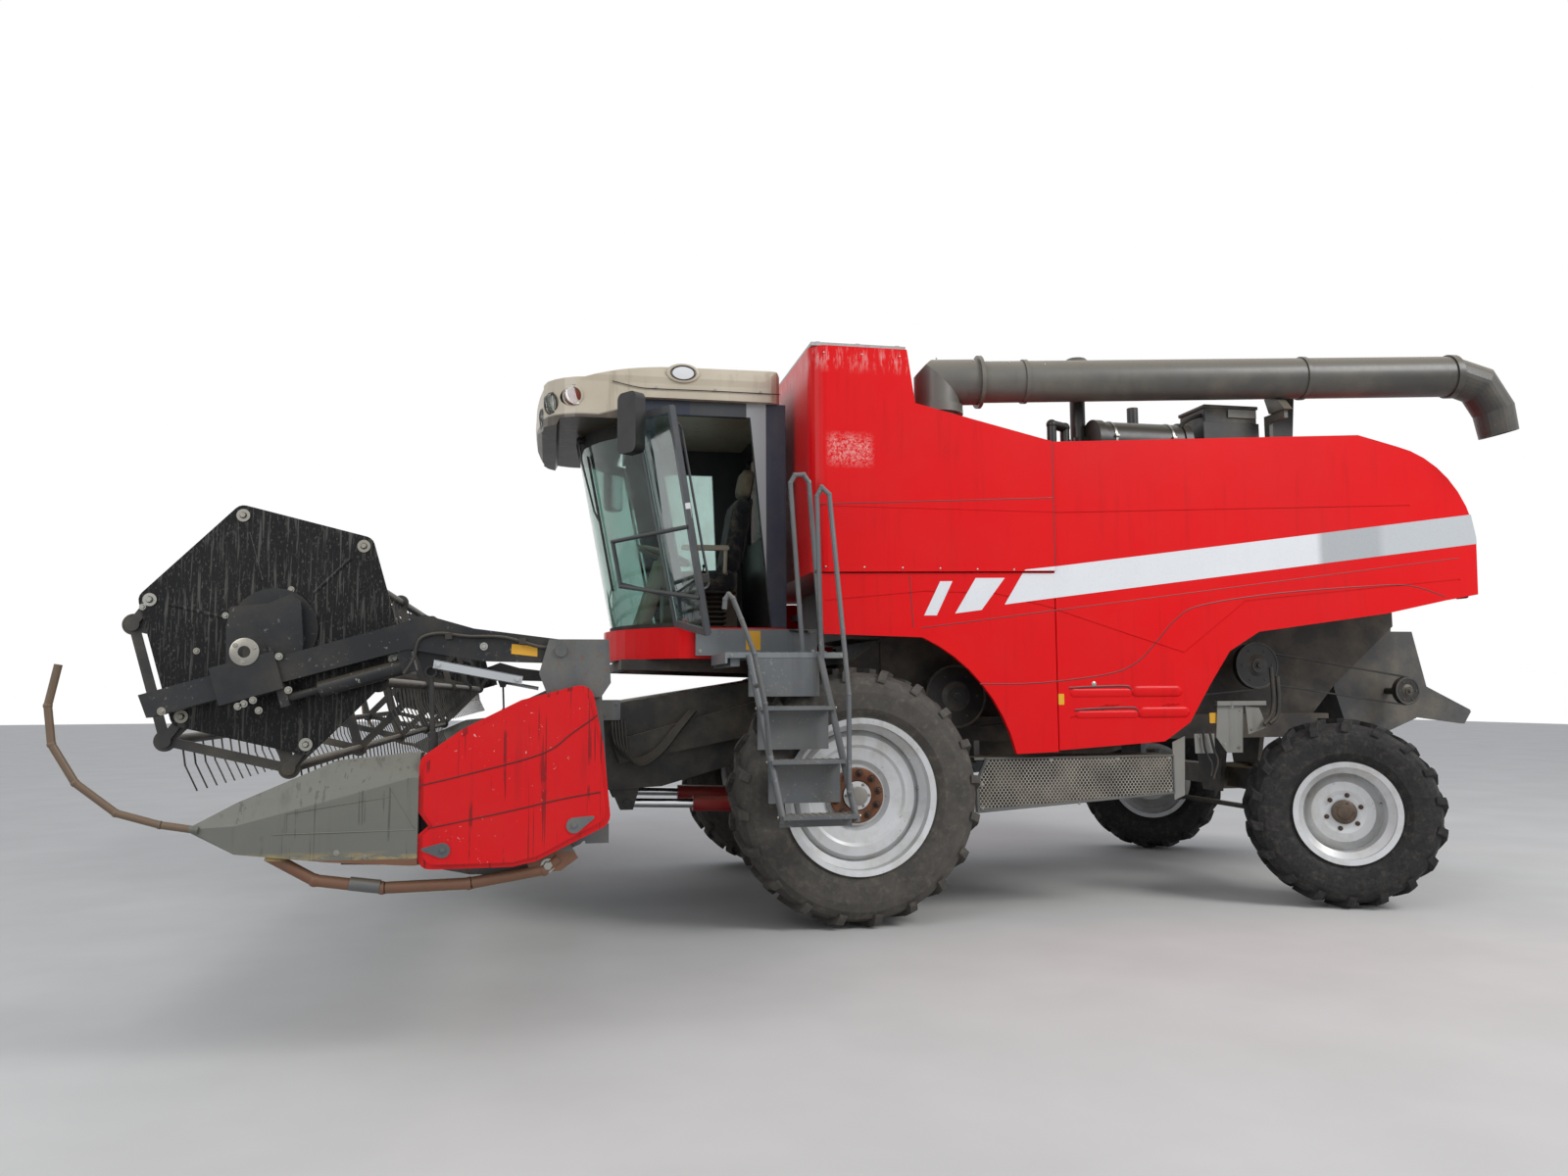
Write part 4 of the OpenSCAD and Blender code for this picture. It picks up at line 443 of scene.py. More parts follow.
# unloading tube's enamel: dark grey satin with chalky patches, and painted shade that darkens it towards the
# spout
TUBE = finish("unloading_tube_enamel", "#55544f", 0.42, "#63615b", dust=0.25, chips=0.4,
              chip_colour="#8a867c", streaks=0.35, streak_colour="#3c3b38", coat=0.1,
              extra=tube_shade)
# step enamel: mid grey, worn to pale chips by boots
STEP_GREY = finish("step_enamel", "#55595b", 0.5, "#64686a", dust=0.25, chips=0.8, chip_colour="#8c8d8b",
                   streaks=0.3)
# landing's enamel: a paler, more faded grey
PLATFORM = finish("platform_enamel", "#6d7376", 0.5, "#7b8082", dust=0.25, chips=0.6, chip_colour="#9b9c9a",
                  streaks=0.3)
# zinc plating of the guards: dull grey with a faint metal gleam under brown streaks
GUARD = finish("guard_zinc", "#64686a", 0.45, "#54575a", metallic=0.35, dust=0.35, chips=0.5,
               chip_colour="#5b4032", streaks=0.4, streak_colour="#4b443b")
# lid enamel: pale chalky grey, dusty on top
LID = finish("lid_enamel", "#a9aba8", 0.45, "#8f918d", dust=0.35, chips=0.3, streaks=0.4)
# engine enamel: dark, with oily streaks under heavy dust
ENGINE = finish("engine_enamel", "#2c2e30", 0.5, "#3a3734", dust=0.5, chips=0.4, streaks=0.4,
                streak_colour="#15120f")
# black enamel: satin, thin dust, a few pale chips
BLACK = finish("black_enamel", "#131416", 0.4, "#1c1c1d", dust=0.16, chips=0.3, chip_colour="#55524d",
               streaks=0.2)
# moulded ABS of the mirror heads: black, with a fine grain that breaks its shine
MIRROR_SHELL = finish("mirror_moulding", "#15161a", 0.5, "#1e1f22", dust=0.10, grain=0.12, grain_mm=1.5)
# chopper enamel: dark grey, scoured by straw
CHOPPER = finish("chopper_enamel", "#3d3f42", 0.5, "#4c4a46", dust=0.45, chips=0.7, streaks=0.5)
# cab enamel: blue-black satin, with a pale and two dark strips beside the door
CAB = finish("cab_enamel", "#2b2f34", 0.42, "#33373b", dust=0.10, streaks=0.2, streak_colour="#4a4d50",
             extra=by_place(("#1c2436", (0, -2.30, -1.80), (1, -1.2, -0.85)),
                            ("#9fa5a6", (0, -1.405, -1.262), (1, -1.2, -0.96)),
                            ("#182036", (0, -1.26, -1.10), (1, -1.2, -0.9))))
# moulded ABS of the roof: beige with weather streaks, and dark brown painted shade on the brow's lower half
ROOF = finish("roof_moulding", "#b8ad99", 0.42, "#c6bca8", dust=0.22, streaks=0.55, streak_colour="#7b6c57",
              coat=0.12, grain=0.1, grain_mm=2, fade_mm=500, extra=brow_shade)
# door enamel: dark grey satin, lightly chipped
DOOR = finish("door_enamel", "#34383c", 0.42, "#40454a", dust=0.12, chips=0.3, chip_colour="#6c6f70",
              streaks=0.15)
# moulded ABS of the console: beige, its grain makes it matt
CONSOLE = finish("console_moulding", "#a99c87", 0.55, "#b3a794", dust=0.15, grain=0.2, grain_mm=1.2)
# feeder house's enamel: black, streaked and dusty
FEEDER = finish("feeder_enamel", "#1d1e20", 0.5, "#2b2a28", dust=0.35, chips=0.6, streaks=0.4,
                streak_colour="#3b3933")
# table enamel: grey, chipped to rust where crop slides over it
TABLE = finish("table_enamel", "#4c5154", 0.5, "#5b5d5c", dust=0.40, chips=0.9, chip_colour="#6a4a36",
               streaks=0.4)
# hardened knife steel: bright metal under a brown film
KNIFE = finish("knife_steel", "#7d7a74", 0.35, "#6a5a4c", metallic=0.85, dust=0.35, chips=0.8,
               chip_colour="#5d3c28")
# reel enamel: black, dusty, half matt
REEL = finish("reel_enamel", "#1b1c1e", 0.5, "#2a2a2a", dust=0.35, chips=0.5, chip_colour="#4d4137",
              streaks=0.2)
# control plates' enamel: deep black and smooth, so that pale drip marks show
SHEET = finish("control_plate_enamel", "#08090b", 0.34, "#0e0f12", dust=0.02, chips=0.3,
               chip_colour="#5b554d", extra=drips, shine=0.22)
# reel arms' enamel: dark grey satin with pale chips
ARM = finish("reel_arm_enamel", "#1f2124", 0.42, "#292b2e", dust=0.14, chips=0.7, chip_colour="#8a867e",
             streaks=0.25, shine=0.3)
# hard chrome of piston rods, and the silver of mirrors: a clean bright reflection
CHROME = finish("piston_chrome", "#d4d6d8", 0.10, metallic=1.0, dust=0.06, grain=0.02)
# zinc plated bolts and fittings: grey metal, half bright
STEEL = finish("zinc_plated_steel", "#a7a8a4", 0.35, "#8e8a80", metallic=0.9, dust=0.2, chips=0.5)
# rusted iron: orange brown, rough and without shine
RUST = finish("rusted_iron", "#5b3524", 0.85, "#7a4a2f", dust=0.25, chips=0.9, chip_colour="#3a2117",
              grain=0.6, grain_mm=3, fade_mm=60)
# rusted nuts: the same, handled and darker
DARK_RUST = finish("rusted_nuts", "#33231d", 0.8, "#4a2f24", dust=0.15, chips=0.6, chip_colour="#6b4531",
                   grain=0.4, grain_mm=3, fade_mm=40)
# hub iron under grease: dark brown with a wet gleam
GREASE = finish("greasy_hub_iron", "#3a2c24", 0.45, "#57463a", dust=0.25, chips=0.5, chip_colour="#8a7a68",
                grain=0.3, grain_mm=4, fade_mm=60)
# hub cover's enamel: pale grey under dust
HUB_GREY = finish("hub_cover_enamel", "#8e8b86", 0.5, "#7c766d", dust=0.3, chips=0.4, streaks=0.3)
# frame plates' enamel: grey with rain runs
PLATE_GREY = finish("plate_enamel", "#84847f", 0.5, "#74736d", dust=0.3, chips=0.5, streaks=0.4)
# galvanised bar: pale grey with little gleam
ZINC = finish("galvanised_bar", "#b4b8ba", 0.5, "#a3a7a8", metallic=0.25, dust=0.08, chips=0.2)
# vinyl sticker film: amber, faded to straw
STICKER = finish("sticker_film", "#e0a312", 0.4, "#d2a033", dust=0.12, chips=0.2, chip_colour="#b7a98a")
# vinyl plate film: white under a thin gloss
WHITE_FILM = finish("white_film", "#dedfdf", 0.3, "#cfd1d2", dust=0.06, coat=0.3, streaks=0.2,
                    streak_colour="#a9a8a2")
# vinyl stripe film: white under a thin gloss; its rear half grey, partly the film's silver grey and partly
# painted shade
BAND = finish("stripe_film", "#dfe1e3", 0.28, "#d6d8da", dust=0.04, coat=0.3, streaks=0.2,
              streak_colour="#b9b9b4", extra=stripe_grey_and_shade)
# extruded seal rubber: black and matt
RUBBER_SEAL = finish("seal_rubber", "#141414", 0.75, "#1d1d1d", dust=0.15, grain=0.15)
# moulded grips and the display: black, finely grained
GLOVE = finish("lever_moulding", "#18191b", 0.45, "#202124", dust=0.05, grain=0.1)
# hose rubber: black under dust
HOSE = finish("hose_rubber", "#161617", 0.6, "#201f1e", dust=0.25, grain=0.15)
# moulded acrylic lens: deep red, its ribs drawn as a coarse grain
RED_LENS = finish("tail_lens", "#8d0d10", 0.2, "#9c1414", dust=0.08, coat=0.3, grain=0.3, grain_mm=6)
# amber acrylic lens: brown orange when unlit
ORANGE_LENS = finish("amber_lens", "#64240f", 0.4, "#743012", dust=0.05, shine=0.25, grain=0.35, grain_mm=8)
# rotation-moulded nose: grey, softly grained, with thin dark drips and rusty rods below
DIVIDER = finish("divider_moulding", "#5d5e58", 0.5, "#66675f", dust=0.12, streaks=0.6,
                 streak_colour="#3b3c38", grain=0.25, grain_mm=2, extra=divider_places)
# rims' silver enamel: pale metal sheen, dust in the well, rust from the bolts
RIM = finish("rim_silver_enamel", "#d3d5d6", 0.36, "#c4c6c7", metallic=0.25, dust=0.12, chips=0.5,
             chip_colour="#7a5a45", streaks=0.25, streak_colour="#8d8475", extra=wheel_rings)


def rubber(name, dark, pale, soil_colour, amount):
    """Moulded rubber that has stood outside: near black, greyed, with brown soil dried on it in blotches."""
    made, shader, where = start(name)
    tint = blend(blots(where, 140, 0.35, 0.7, 5, 0.6), dark, pale)
    soil = blots(where, 55, 0.62 - 0.2 * amount, 0.80 - 0.2 * amount, 7, 0.68, most=amount)
    tint = blend(blots(where, 6, 0.62, 0.72, 4, 0.7, most=0.5), blend(soil, tint, soil_colour), "#7c776e")
    give(shader, {"Base Color": tint, "Roughness": blots(where, 30, 0.3, 0.7, least=0.72, most=0.92),
                  "Normal": relief(noise(where, 4, 5, 0.65), 0.35, 0.002)})
    return made


# tyre rubber: the rear tyres are near black, the front ones greyed by dried soil
RUBBER = rubber("tyre_rubber", "#171717", "#232221", "#4d4843", 0.55)
DUSTY_RUBBER = rubber("tyre_rubber_dusty", "#3f3c38", "#4f4b45", "#6f685b", 0.5)


def clear(name, colour, rough=0.015, dirt=0.25):
    """Tinted sheet glass: clear, faintly green, with a film of dust in blotches and runs."""
    made, shader, where = start(name)
    film = larger(times(blots(where, 220, 0.45, 0.8, 6, 0.6), dirt),
                  times(blots(where, 40, 0.56, 0.70, 4, 0.6, (1, 1, 0.08)), dirt * 0.5))
    give(shader, {"Base Color": blend(film, colour, "#b5b6a8"), "IOR": 1.45,
                  "Roughness": maths("ADD", times(film, 0.6), rough),
                  "Transmission Weight": maths("SUBTRACT", 1.0, times(film, 0.5))})
    return made


# float glass: the cab's is tinted faintly green, the lamps' is clear
GLASS = clear("cab_glass_tinted", "#a9c4bd")
LENS = clear("lamp_glass", "#e9eeee", 0.03, 0.12)


def cloth(name, colour, second):
    """Woven seat cloth: two threads crossing every 3 mm, drawn coarse enough to show, with a soft sheen."""
    made, shader, where = start(name)
    threads = [step("TexWave", {"wave_type": "BANDS", "bands_direction": run},
                    {"Vector": where, "Scale": 52.0, "Distortion": 0.6, "Detail": 1.0}, 1) for run in "XY"]
    height = times(*threads)
    tint = blend(blots(where, 90, 0.5, 0.8, most=0.4), blend(height, colour, second), DUST)
    give(shader, {"Base Color": tint, "Roughness": 0.9, "Sheen Weight": 0.25,
                  "Normal": relief(height, 0.4, 0.0015)})
    return made


# woven cloth: dark on cushion and back, beige on the head rest
SEAT_CLOTH = cloth("seat_cloth_dark", "#17181c", "#2a2c32")
SEAT_BEIGE = cloth("seat_cloth_beige", "#8d7f6b", "#a5977f")


def perforated(name):
    """Zinc sheet punched with round holes in staggered rows 18 mm apart: a hole where either of two square
    lattices, one shifted by half a step, is nearer than its radius. The holes hold painted shade: the dark,
    shaded inside."""
    made, shader, where = start(name)
    holes = []
    for shift in (0.0, 0.5):
        gaps = []
        for axis, pitch in ((0, 0.026), (2, 0.036)):
            turns = maths("MULTIPLY_ADD", along(where, axis), 1 / pitch, 100 + shift, clamp=False)
            off = maths("SUBTRACT", maths("FRACT", turns, clamp=False), 0.5, clamp=False)
            gaps.append(maths("POWER", maths("MULTIPLY", off, pitch / 0.0096, clamp=False), 2, clamp=False))
        holes.append(maths("LESS_THAN", maths("ADD", *gaps, clamp=False), 1.0))
    sheet = blend(blots(where, 170, 0.35, 0.7, 5, 0.6), "#a39d92", "#827c72")
    # painted shade: a dark, blotched inside stands in for the shaded parts behind the sheet
    inside = ramp(noise(where, 240, 2), (0.42, "#14130f"), (0.62, "#4b463c"))
    give(shader, {"Base Color": blend(larger(*holes), sheet, inside), "Roughness": 0.6,
                  "Specular IOR Level": 0.3})
    return made


# punched zinc sheet of the belt guards
PERFORATED = perforated("perforated_zinc_sheet")

CAD_MATERIALS = {RED: "grain_tank side_panels straw_hood cab_base", COVER_RED: "end_covers",
                 FRAME_SHADE_GREY: "frame", RAM_RED: "lift_barrels",
                 AXLE: "front_axle rear_axle knuckle_left knuckle_right tie_rod",
                 TUBE: "unloading_tube tube_elbow",
                 RIM: "rim_front_left rim_front_right rim_rear_left rim_rear_right", STEP_GREY: "ladder",
                 DUSTY_RUBBER: "tyre_front_left tyre_front_right", RUBBER: "tyre_rear_left tyre_rear_right",
                 PLATFORM: "platform", GUARD: "belt_guards", LID: "tank_lid", ENGINE: "engine_block",
                 BLACK: "engine_fittings belt_drive", MIRROR_SHELL: "mirrors", CHOPPER: "chopper",
                 CAB: "cab_frame", ROOF: "cab_roof", GLASS: "cab_glass door_glass", SEAT_CLOTH: "seat",
                 CONSOLE: "console", LENS: "roof_lamps", DOOR: "door_frame", FEEDER: "feeder_house",
                 TABLE: "header_table auger", KNIFE: "knife_bar", DIVIDER: "dividers",
                 REEL: "reel bat_1 bat_2 bat_3 bat_4 bat_5 bat_6", SHEET: "control_plates",
                 ARM: "reel_arms reel_carriages reel_lift_barrels reel_lift_rods", CHROME: "lift_rods"}
for finish_used, names in CAD_MATERIALS.items():
    for name in names.split():
        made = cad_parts[name]
        for k in range(max(1, len(made.material_slots))):
            if k < len(made.material_slots):
                made.material_slots[k].material = finish_used
            else:
                made.data.materials.append(finish_used)


# Stripes and stickers

# Faces of the left walls: of the tank and of the panels under it
TANK_Y, PANEL_Y = -1470.0, -1450.0


def film(outline, y):
    """A thin film on a wall of the left side, its outer face at y."""
    return prism(outline, y, y + 0.8)


STRIPES = [[(485, 2027), (574, 2028), (690, 2262), (602, 2260)],
           [(705, 2042), (896, 2068), (1068, 2290), (857, 2286)],
           [(1063, 2106), (1432, 2156), (2400, 2283), (4862, 2603), (4862, 2650), (4826, 2826),
            (1436, 2374), (1436, 2327), (1200, 2324)]]
ON_TANK = [(1204, 2340), (1431, 2344), (1431, 2373), (1216, 2348)]
sheets = joined(*[film(o, PANEL_Y - 1.6) for o in STRIPES], film(ON_TANK, TANK_Y - 1.6))
piece("stripe_left", sheets, BAND, "body_red", smooth=False)
piece("stripe_right", flipped(sheets), BAND, "body_red", smooth=False)

# blank stickers: marker by the louvres, sill under the door, rear frame; the reel arm's is made with the
# header
piece("marker_left", film(rounded((1440, 1420), (1482, 1495), 6), PANEL_Y - 1.6), STICKER, "body_red",
      smooth=False)
piece("sill_sticker", film(rounded((-662, 1806), (-560, 1940), 4), -1029.6), STICKER, "cover_grey",
      smooth=False)
piece("rear_marker", film(rounded((2725, 1275), (2800, 1350), 6), -1216.6), STICKER, "body_red",
      smooth=False)

# Fasteners

def bolt(r, h, washer=True):
    """A hexagon head standing along +Z, chamfered at its rim, on a washer."""
    turn = np.arange(6) * np.pi / 3
    rings = [(r, 0), (r, 0.75 * h), (0.82 * r, h)]
    head = loft(np.array([[(q * np.cos(t), q * np.sin(t), z) for t in turn] for q, z in rings]))
    if not washer:
        return head
    return joined(head, lathe([(1.5 * r, 0), (1.5 * r, 0.22 * h)], 12))


def aimed(part, place, axis):
    """A part drawn along +Z, moved to a place and turned along an axis."""
    first, second, axis = basis(axis)
    verts = part[0]
    return place + verts[:, :1] * first + verts[:, 1:2] * second + verts[:, 2:] * axis, part[1]


def bolts(places, axis, r=9, h=8, washer=True):
    """Bolts at places, all along one axis."""
    return copies(aimed(bolt(r, h, washer), np.zeros(3), axis), places)


def wall_bolts(spots, y, r=9, h=8):
    """Bolts that stand out of a left wall at y, at (x, z) spots."""
    return bolts([(x, y, z) for x, z in spots], LEFT, r, h)


# Wheels

def ring_of(count, radius, height, first=0.0):
    """Places on a circle about +Z."""
    turn = first + np.arange(count) * 2 * np.pi / count
    return np.stack([radius * np.cos(turn), radius * np.sin(turn), np.full(count, height)], 1)


SIDES = (("left", -1), ("right", 1))
# Middles of the left front disc and the left kingpin, the rear disc's offset and its parked turn
FRONT_WHEEL, KINGPIN = (0, -1370, 840), (3650, 1290, 655)
DISC_OFFSET, WHEELS_PARKED = 290, math.radians(-25)


def front_place(part, sign):
    """From a front wheel's own frame, outer side up, to its place on the axle."""
    v, f = part
    turned = np.stack([v[:, 0], -v[:, 2], v[:, 1]], 1) + FRONT_WHEEL, f
    return turned if sign < 0 else flipped(turned)


def rear_place(part, sign):
    """From a rear wheel's own frame to its place, turned about its kingpin as it is parked."""
    v, f = part
    turned = np.stack([v[:, 0], -v[:, 2] - DISC_OFFSET, v[:, 1]], 1), f
    if sign > 0:
        turned = flipped(turned)
    v, f = turned_about(turned, WHEELS_PARKED, np.zeros(3), (0, 0, 1))
    return v + [KINGPIN[0], sign * KINGPIN[1], KINGPIN[2]], f


# front: rusty adapter ring, studs round the dish, hub cap with its bolts, valve stem
ring = lathe([(96, 78), (96, 84), (104, 90), (172, 90), (182, 84), (182, 78)], 60)
stud = joined(bolt(17, 26), lathe([(9, 20), (9, 40), (7, 43), (0.5, 43)], 12))
cap = lathe([(60, 140), (60, 146), (50, 151), (16, 152), (0.5, 152)], 40)
valve = lathe([(6, 0), (6, 34), (4, 36), (4, 46)], 10)
front_parts = {"wheel_ring_": (ring, RUST),
               "wheel_studs_": (copies(stud, ring_of(10, 146, 90, 0.2)), DARK_RUST),
               "wheel_cap_": (joined(cap, copies(bolt(7, 6), ring_of(6, 78, 99))), HUB_GREY),
               "wheel_valve_": (aimed(valve, (425, 40, 60), (-0.35, 0, 1)), STEEL)}
# rear: greasy hub cover, six studs close round it, valve stem
cover = lathe([(84, 34), (84, 52), (76, 60), (52, 64), (46, 72), (20, 76), (0.5, 76)], 40)
valve = lathe([(5, 0), (5, 30), (4, 40)], 10)
nuts = joined(copies(bolt(11, 16), ring_of(6, 118, 34, 0.3)), aimed(valve, (262, 60, -40), (-0.3, 0, 1)))
rear_parts = {"rear_hub_cover_": (joined(cover, copies(bolt(7, 6), ring_of(5, 64, 62))), GREASE),
              "rear_wheel_nuts_": (nuts, DARK_RUST)}
for side, sign in SIDES:
    for wheel, place, parts in (("front_wheel_", front_place, front_parts),
                                ("rear_wheel_", rear_place, rear_parts)):
        for name, (part, material) in parts.items():
            piece(name + side, place(part, sign), material, "rim_silver", wheel + side)

# Cab

# Lean of the front pillar and its foot's X, height of the floor, the cab's middle, the windscreen's
# outer radius and how far its axis stands behind the pillar's foot
LEAN, PILLAR_X = math.radians(10.8), -1125
FLOOR_Z, MID_Y = 1965.0, -150.0
SCREEN_R, SCREEN_X = 1069, math.sqrt(1061 ** 2 - 834 ** 2) + 12 * math.cos(LEAN) - 0.3


def pillar_at(z):
    """X of the front pillar's line at a height."""
    return PILLAR_X - (z - FLOOR_Z) * math.tan(LEAN)


def on_screen(turn, z, out=0.0):
    """Points on the windscreen's outer face: a leaning cylinder, at a turn about its axis and a height,
    moved outwards by out."""
    turn, z, out = np.broadcast_arrays(np.asarray(turn, float), np.asarray(z, float),
                                       np.asarray(out, float))
    x = SCREEN_X - (SCREEN_R + out) * np.cos(turn)
    up = (z - FLOOR_Z - x * math.sin(LEAN)) / math.cos(LEAN)
    return np.stack([PILLAR_X + x * math.cos(LEAN) - up * math.sin(LEAN),
                     MID_Y + (SCREEN_R + out) * np.sin(turn), z], -1)


def screen_band(turns, low, high, out0, out1):
    """A band laid on the windscreen between two heights, as thick as from out0 to out1."""
    turns = np.asarray(turns, float)[:, None]
    return loft(on_screen(turns, np.array([[low, high, high, low]]), np.array([[out0, out0, out1, out1]])))


def screen_strip(turn0, turn1, low, high, out0, out1):
    """An upright strip on the windscreen between two turns."""
    z = np.linspace(low, high, 16)[:, None]
    return loft(on_screen(np.array([[turn0, turn1, turn1, turn0]]), z,
                          np.array([[out0, out0, out1, out1]])))


EDGE = math.radians(51.1)
wide = np.linspace(-EDGE, EDGE, 41)
seal = joined(screen_band(wide, 1966, 1996, 0.4, 7), screen_strip(-EDGE, -EDGE + 0.02, 1996, 3384, 0.4, 7),
              screen_strip(EDGE - 0.02, EDGE, 1996, 3384, 0.4, 7), screen_band(wide, 3300, 3384, 0.4, 4))
piece("windscreen_seal", seal, RUBBER_SEAL, "glass")

# wiper: motor cover under the brow, arm with its twin links, blade
turn = math.asin(-300 / SCREEN_R)
pivot, knee = on_screen(turn, 3352, 42), on_screen(turn - 0.01, 2830, 30)
arm = joined(tube([pivot, on_screen(turn, 3200, 50), knee], 7, 8),
             tube([pivot + [0, 22, 0], on_screen(turn + 0.02, 3180, 46), knee + [0, 8, 0]], 5, 8),
             lathe([(26, -34), (26, 6), (18, 14), (0.5, 15)], 16, pivot, on_screen(turn, 3352, 52) - pivot))
heights = np.linspace(2250, 3230, 14)
blade = joined(tube(on_screen(turn - 0.035, heights, 16), 6, 6),
               tube(on_screen(turn - 0.035, heights, 5.5), 3.4, 6),
               tube([knee, on_screen(turn - 0.035, 2760, 18)], 8, 8))
piece("wiper", joined(arm, blade), BLACK, "black_parts")

# roof: a bare round boss on the left side, a seam round the shell and its screws
BOSS_AT, BOSS_ACROSS, BOSS_HIGH = (-1105, -1062, 3722), 88, 52


def oval(profile):
    """The roof's boss, squeezed to an oval that stands out along -Y: rings of (share, depth)."""
    turn = np.linspace(0, 2 * np.pi, 48, endpoint=False)[None]
    share, depth = np.array(profile, float).T[:, :, None]
    x = BOSS_AT[0] + BOSS_ACROSS * share * np.cos(turn)
    z = BOSS_AT[2] + BOSS_HIGH * share * np.sin(turn)
    return loft(np.stack([x, np.repeat(BOSS_AT[1] - depth, 48, 1), z], -1))


for name, material, rings in (
    ("roof_boss", ROOF, [(1.35, -60), (1.34, -4), (1.27, 6), (1.12, 10), (1.06, 10), (1.02, 6), (0.01, 6)]),
    ("roof_boss_ring", BLACK, [(1.0, 4), (1.0, 9.5), (0.93, 12), (0.86, 9.5), (0.86, 4)]),
    ("roof_boss_face", WHITE_FILM, [(0.86, 5), (0.84, 9), (0.5, 11), (0.01, 12)])):
    piece(name, oval(rings), material, "roof_beige")
seam = smooth_path([(-1590, -1063, 3644), (-1420, -1063, 3610),
                    (-1290, -1063, 3604), (-900, -1063, 3606), (-420, -1063, 3604)], 8)
piece("roof_seam", mirrored(tube(seam, 3.4, 6), -150), RUBBER_SEAL, "roof_beige")
spots = [(-1290, -1062.5, 3612), (-880, -1062.5, 3612), (-560, -1062.5, 3612)]
piece("roof_screws", mirrored(bolts(spots, LEFT, 7, 5), -150), STEEL, "roof_beige")


# The door stands open by this turn, and its free edge leans by this share of its height
DOOR_PARKED = math.radians(-79)
EDGE_LEAN = 0.1


def door_part(part):
    """A part drawn on the closed door, turned open about the leaning hinge line as the door is parked."""
    return turned_about(part, DOOR_PARKED, np.array([PILLAR_X, -1000.0, FLOOR_Z]),
                        (-math.sin(LEAN), 0, math.cos(LEAN)))


def door_edge(z, y, back=0.0):
    """A point near the door's free edge."""
    return (-502 - (z - FLOOR_Z) * EDGE_LEAN - back, y, z)


corners = [(pillar_at(z) + 14 + 24, z) for z in (2000, 3416)] + [door_edge(z, 0)[::2] for z in (3416, 2000)]
loop = np.array([(x, -1009.5, z) for x, z in corners + corners[:1]])
steps = np.linspace(0, 1, 9)[:-1, None]
loop = np.vstack([a + (b - a) * steps for a, b in zip(loop[:-1], loop[1:])])
piece("door_seal", door_part(tube(loop, 9, 6, True)), RUBBER_SEAL, "door_dark", "cab_door")
# stout tube up the free edge, thin grab rail inside, lock with its handles, bare white plate
edge = [door_edge(z, -1008) for z in np.linspace(1985, 3430, 6)]
rail = smooth_path([door_edge(3330, -1000, 20), door_edge(3300, -955, 60), door_edge(3180, -945, 75),
                    door_edge(2500, -945, 40), door_edge(2300, -945, 30), door_edge(2260, -1000, 20)], 6)
piece("door_tubes", door_part(joined(tube(edge, 17, 12), tube(rail, 9, 8))), DOOR, "door_dark", "cab_door")
lock = joined(aimed(prism(rounded((-45, -28), (45, 28), 8), -14, 14, "z"),
                    np.array(door_edge(2330, -985, 30)), (1, 0, 0)),
              tube([door_edge(2330, -985, 60), door_edge(2325, -960, 110),
                    door_edge(2322, -962, 190)], 8, 8))
piece("door_lock", door_part(lock), BLACK, "door_dark", "cab_door", soften=2)
x, y, z = door_edge(2760, -993.2)
piece("door_plate", door_part(prism(rounded((-1036, z - 60), (-1002, z + 60), 5), x + 17.2, x + 19.8, "x")),
      WHITE_FILM, "door_dark", "cab_door", smooth=False)

# frame of the door's opening: pale seal lip on the rear post, handle on the sill
lip = tube([(-476 - (z - FLOOR_Z) * EDGE_LEAN, -991.5, z) for z in np.linspace(1975, 3430, 6)], 8, 8)
piece("post_seal", lip, RUBBER_SEAL, "cab_grey")
grip = smooth_path([(-352, -1030, 1945), (-350, -1058, 1944), (-300, -1060, 1934),
                    (-240, -1060, 1936), (-238, -1030, 1936)], 6)
piece("sill_handle", tube(grip, 8, 8), BLACK, "cover_grey")

# mirrors: glass behind a rim on each shell
for side, sign in SIDES:
    a = math.radians(36)
    middle = np.array([-1450, MID_Y + sign * 1200, 3280])
    across = np.array([math.sin(a), sign * math.cos(a), 0])
    out = np.array([math.cos(a), -sign * math.sin(a), 0])
    flat, rim = rounded((-80, -190), (80, 190), 36), rounded((-88, -199), (88, 199), 42)

    def facing(rows, depth):
        """Points of a flat outline in the mirror's plane, moved out of it by a depth."""
        return middle + rows[:, :1] * across + rows[:, 1:] * [0, 0, 1] + out * depth

    glass = loft(np.stack([facing(flat, 0.5), facing(flat, 2.5)]))
    piece("mirror_glass_" + side, glass, CHROME, "black_parts", smooth=False)
    frame_rows = np.stack([facing(rim, 0.4), facing(rim, 6), facing(flat * 0.99, 6),
                           facing(flat * 0.99, 0.4)])
    piece("mirror_rim_" + side, grid(frame_rows, True, True), MIRROR_SHELL, "black_parts")

# lamps in the brow: a bright bowl's rim round each, and an amber front on the rearmost one
LAMPS = [(-2048, 530, 3450, 12, 66), (-1990, 775, 3500, 35, 72), (-1850, 878, 3535, 70, 68)]
for k, (x, dy, z, a, r) in enumerate(LAMPS):
    for side, sign in SIDES:
        turn, lean = math.radians(a), math.radians(96)
        axis = np.array([-math.sin(lean) * math.cos(turn), sign * math.sin(lean) * math.sin(turn),
                         math.cos(lean)])
        place = np.array([x, MID_Y + sign * dy, z]) + axis * 10.0
        ring = lathe([(r - 1, 0), (r + 5, 1), (r + 4, 7), (r - 6, 9), (r - 10, 3), (r - 10, 0.4)], 32,
                     place, axis, closed=True)
        piece(f"lamp_rim_{k}_{side}", ring, BLACK if k < 2 else ROOF, "roof_beige")
        front = lathe([(r - 10, 0.3), (r - 10, 3), (r * 0.6, 7), (0.5, 9)], 32, place, axis)
        piece(f"lamp_front_{k}_{side}", front, ORANGE_LENS if k == 2 else LENS, "lamp_lens")

# Ladder and platform

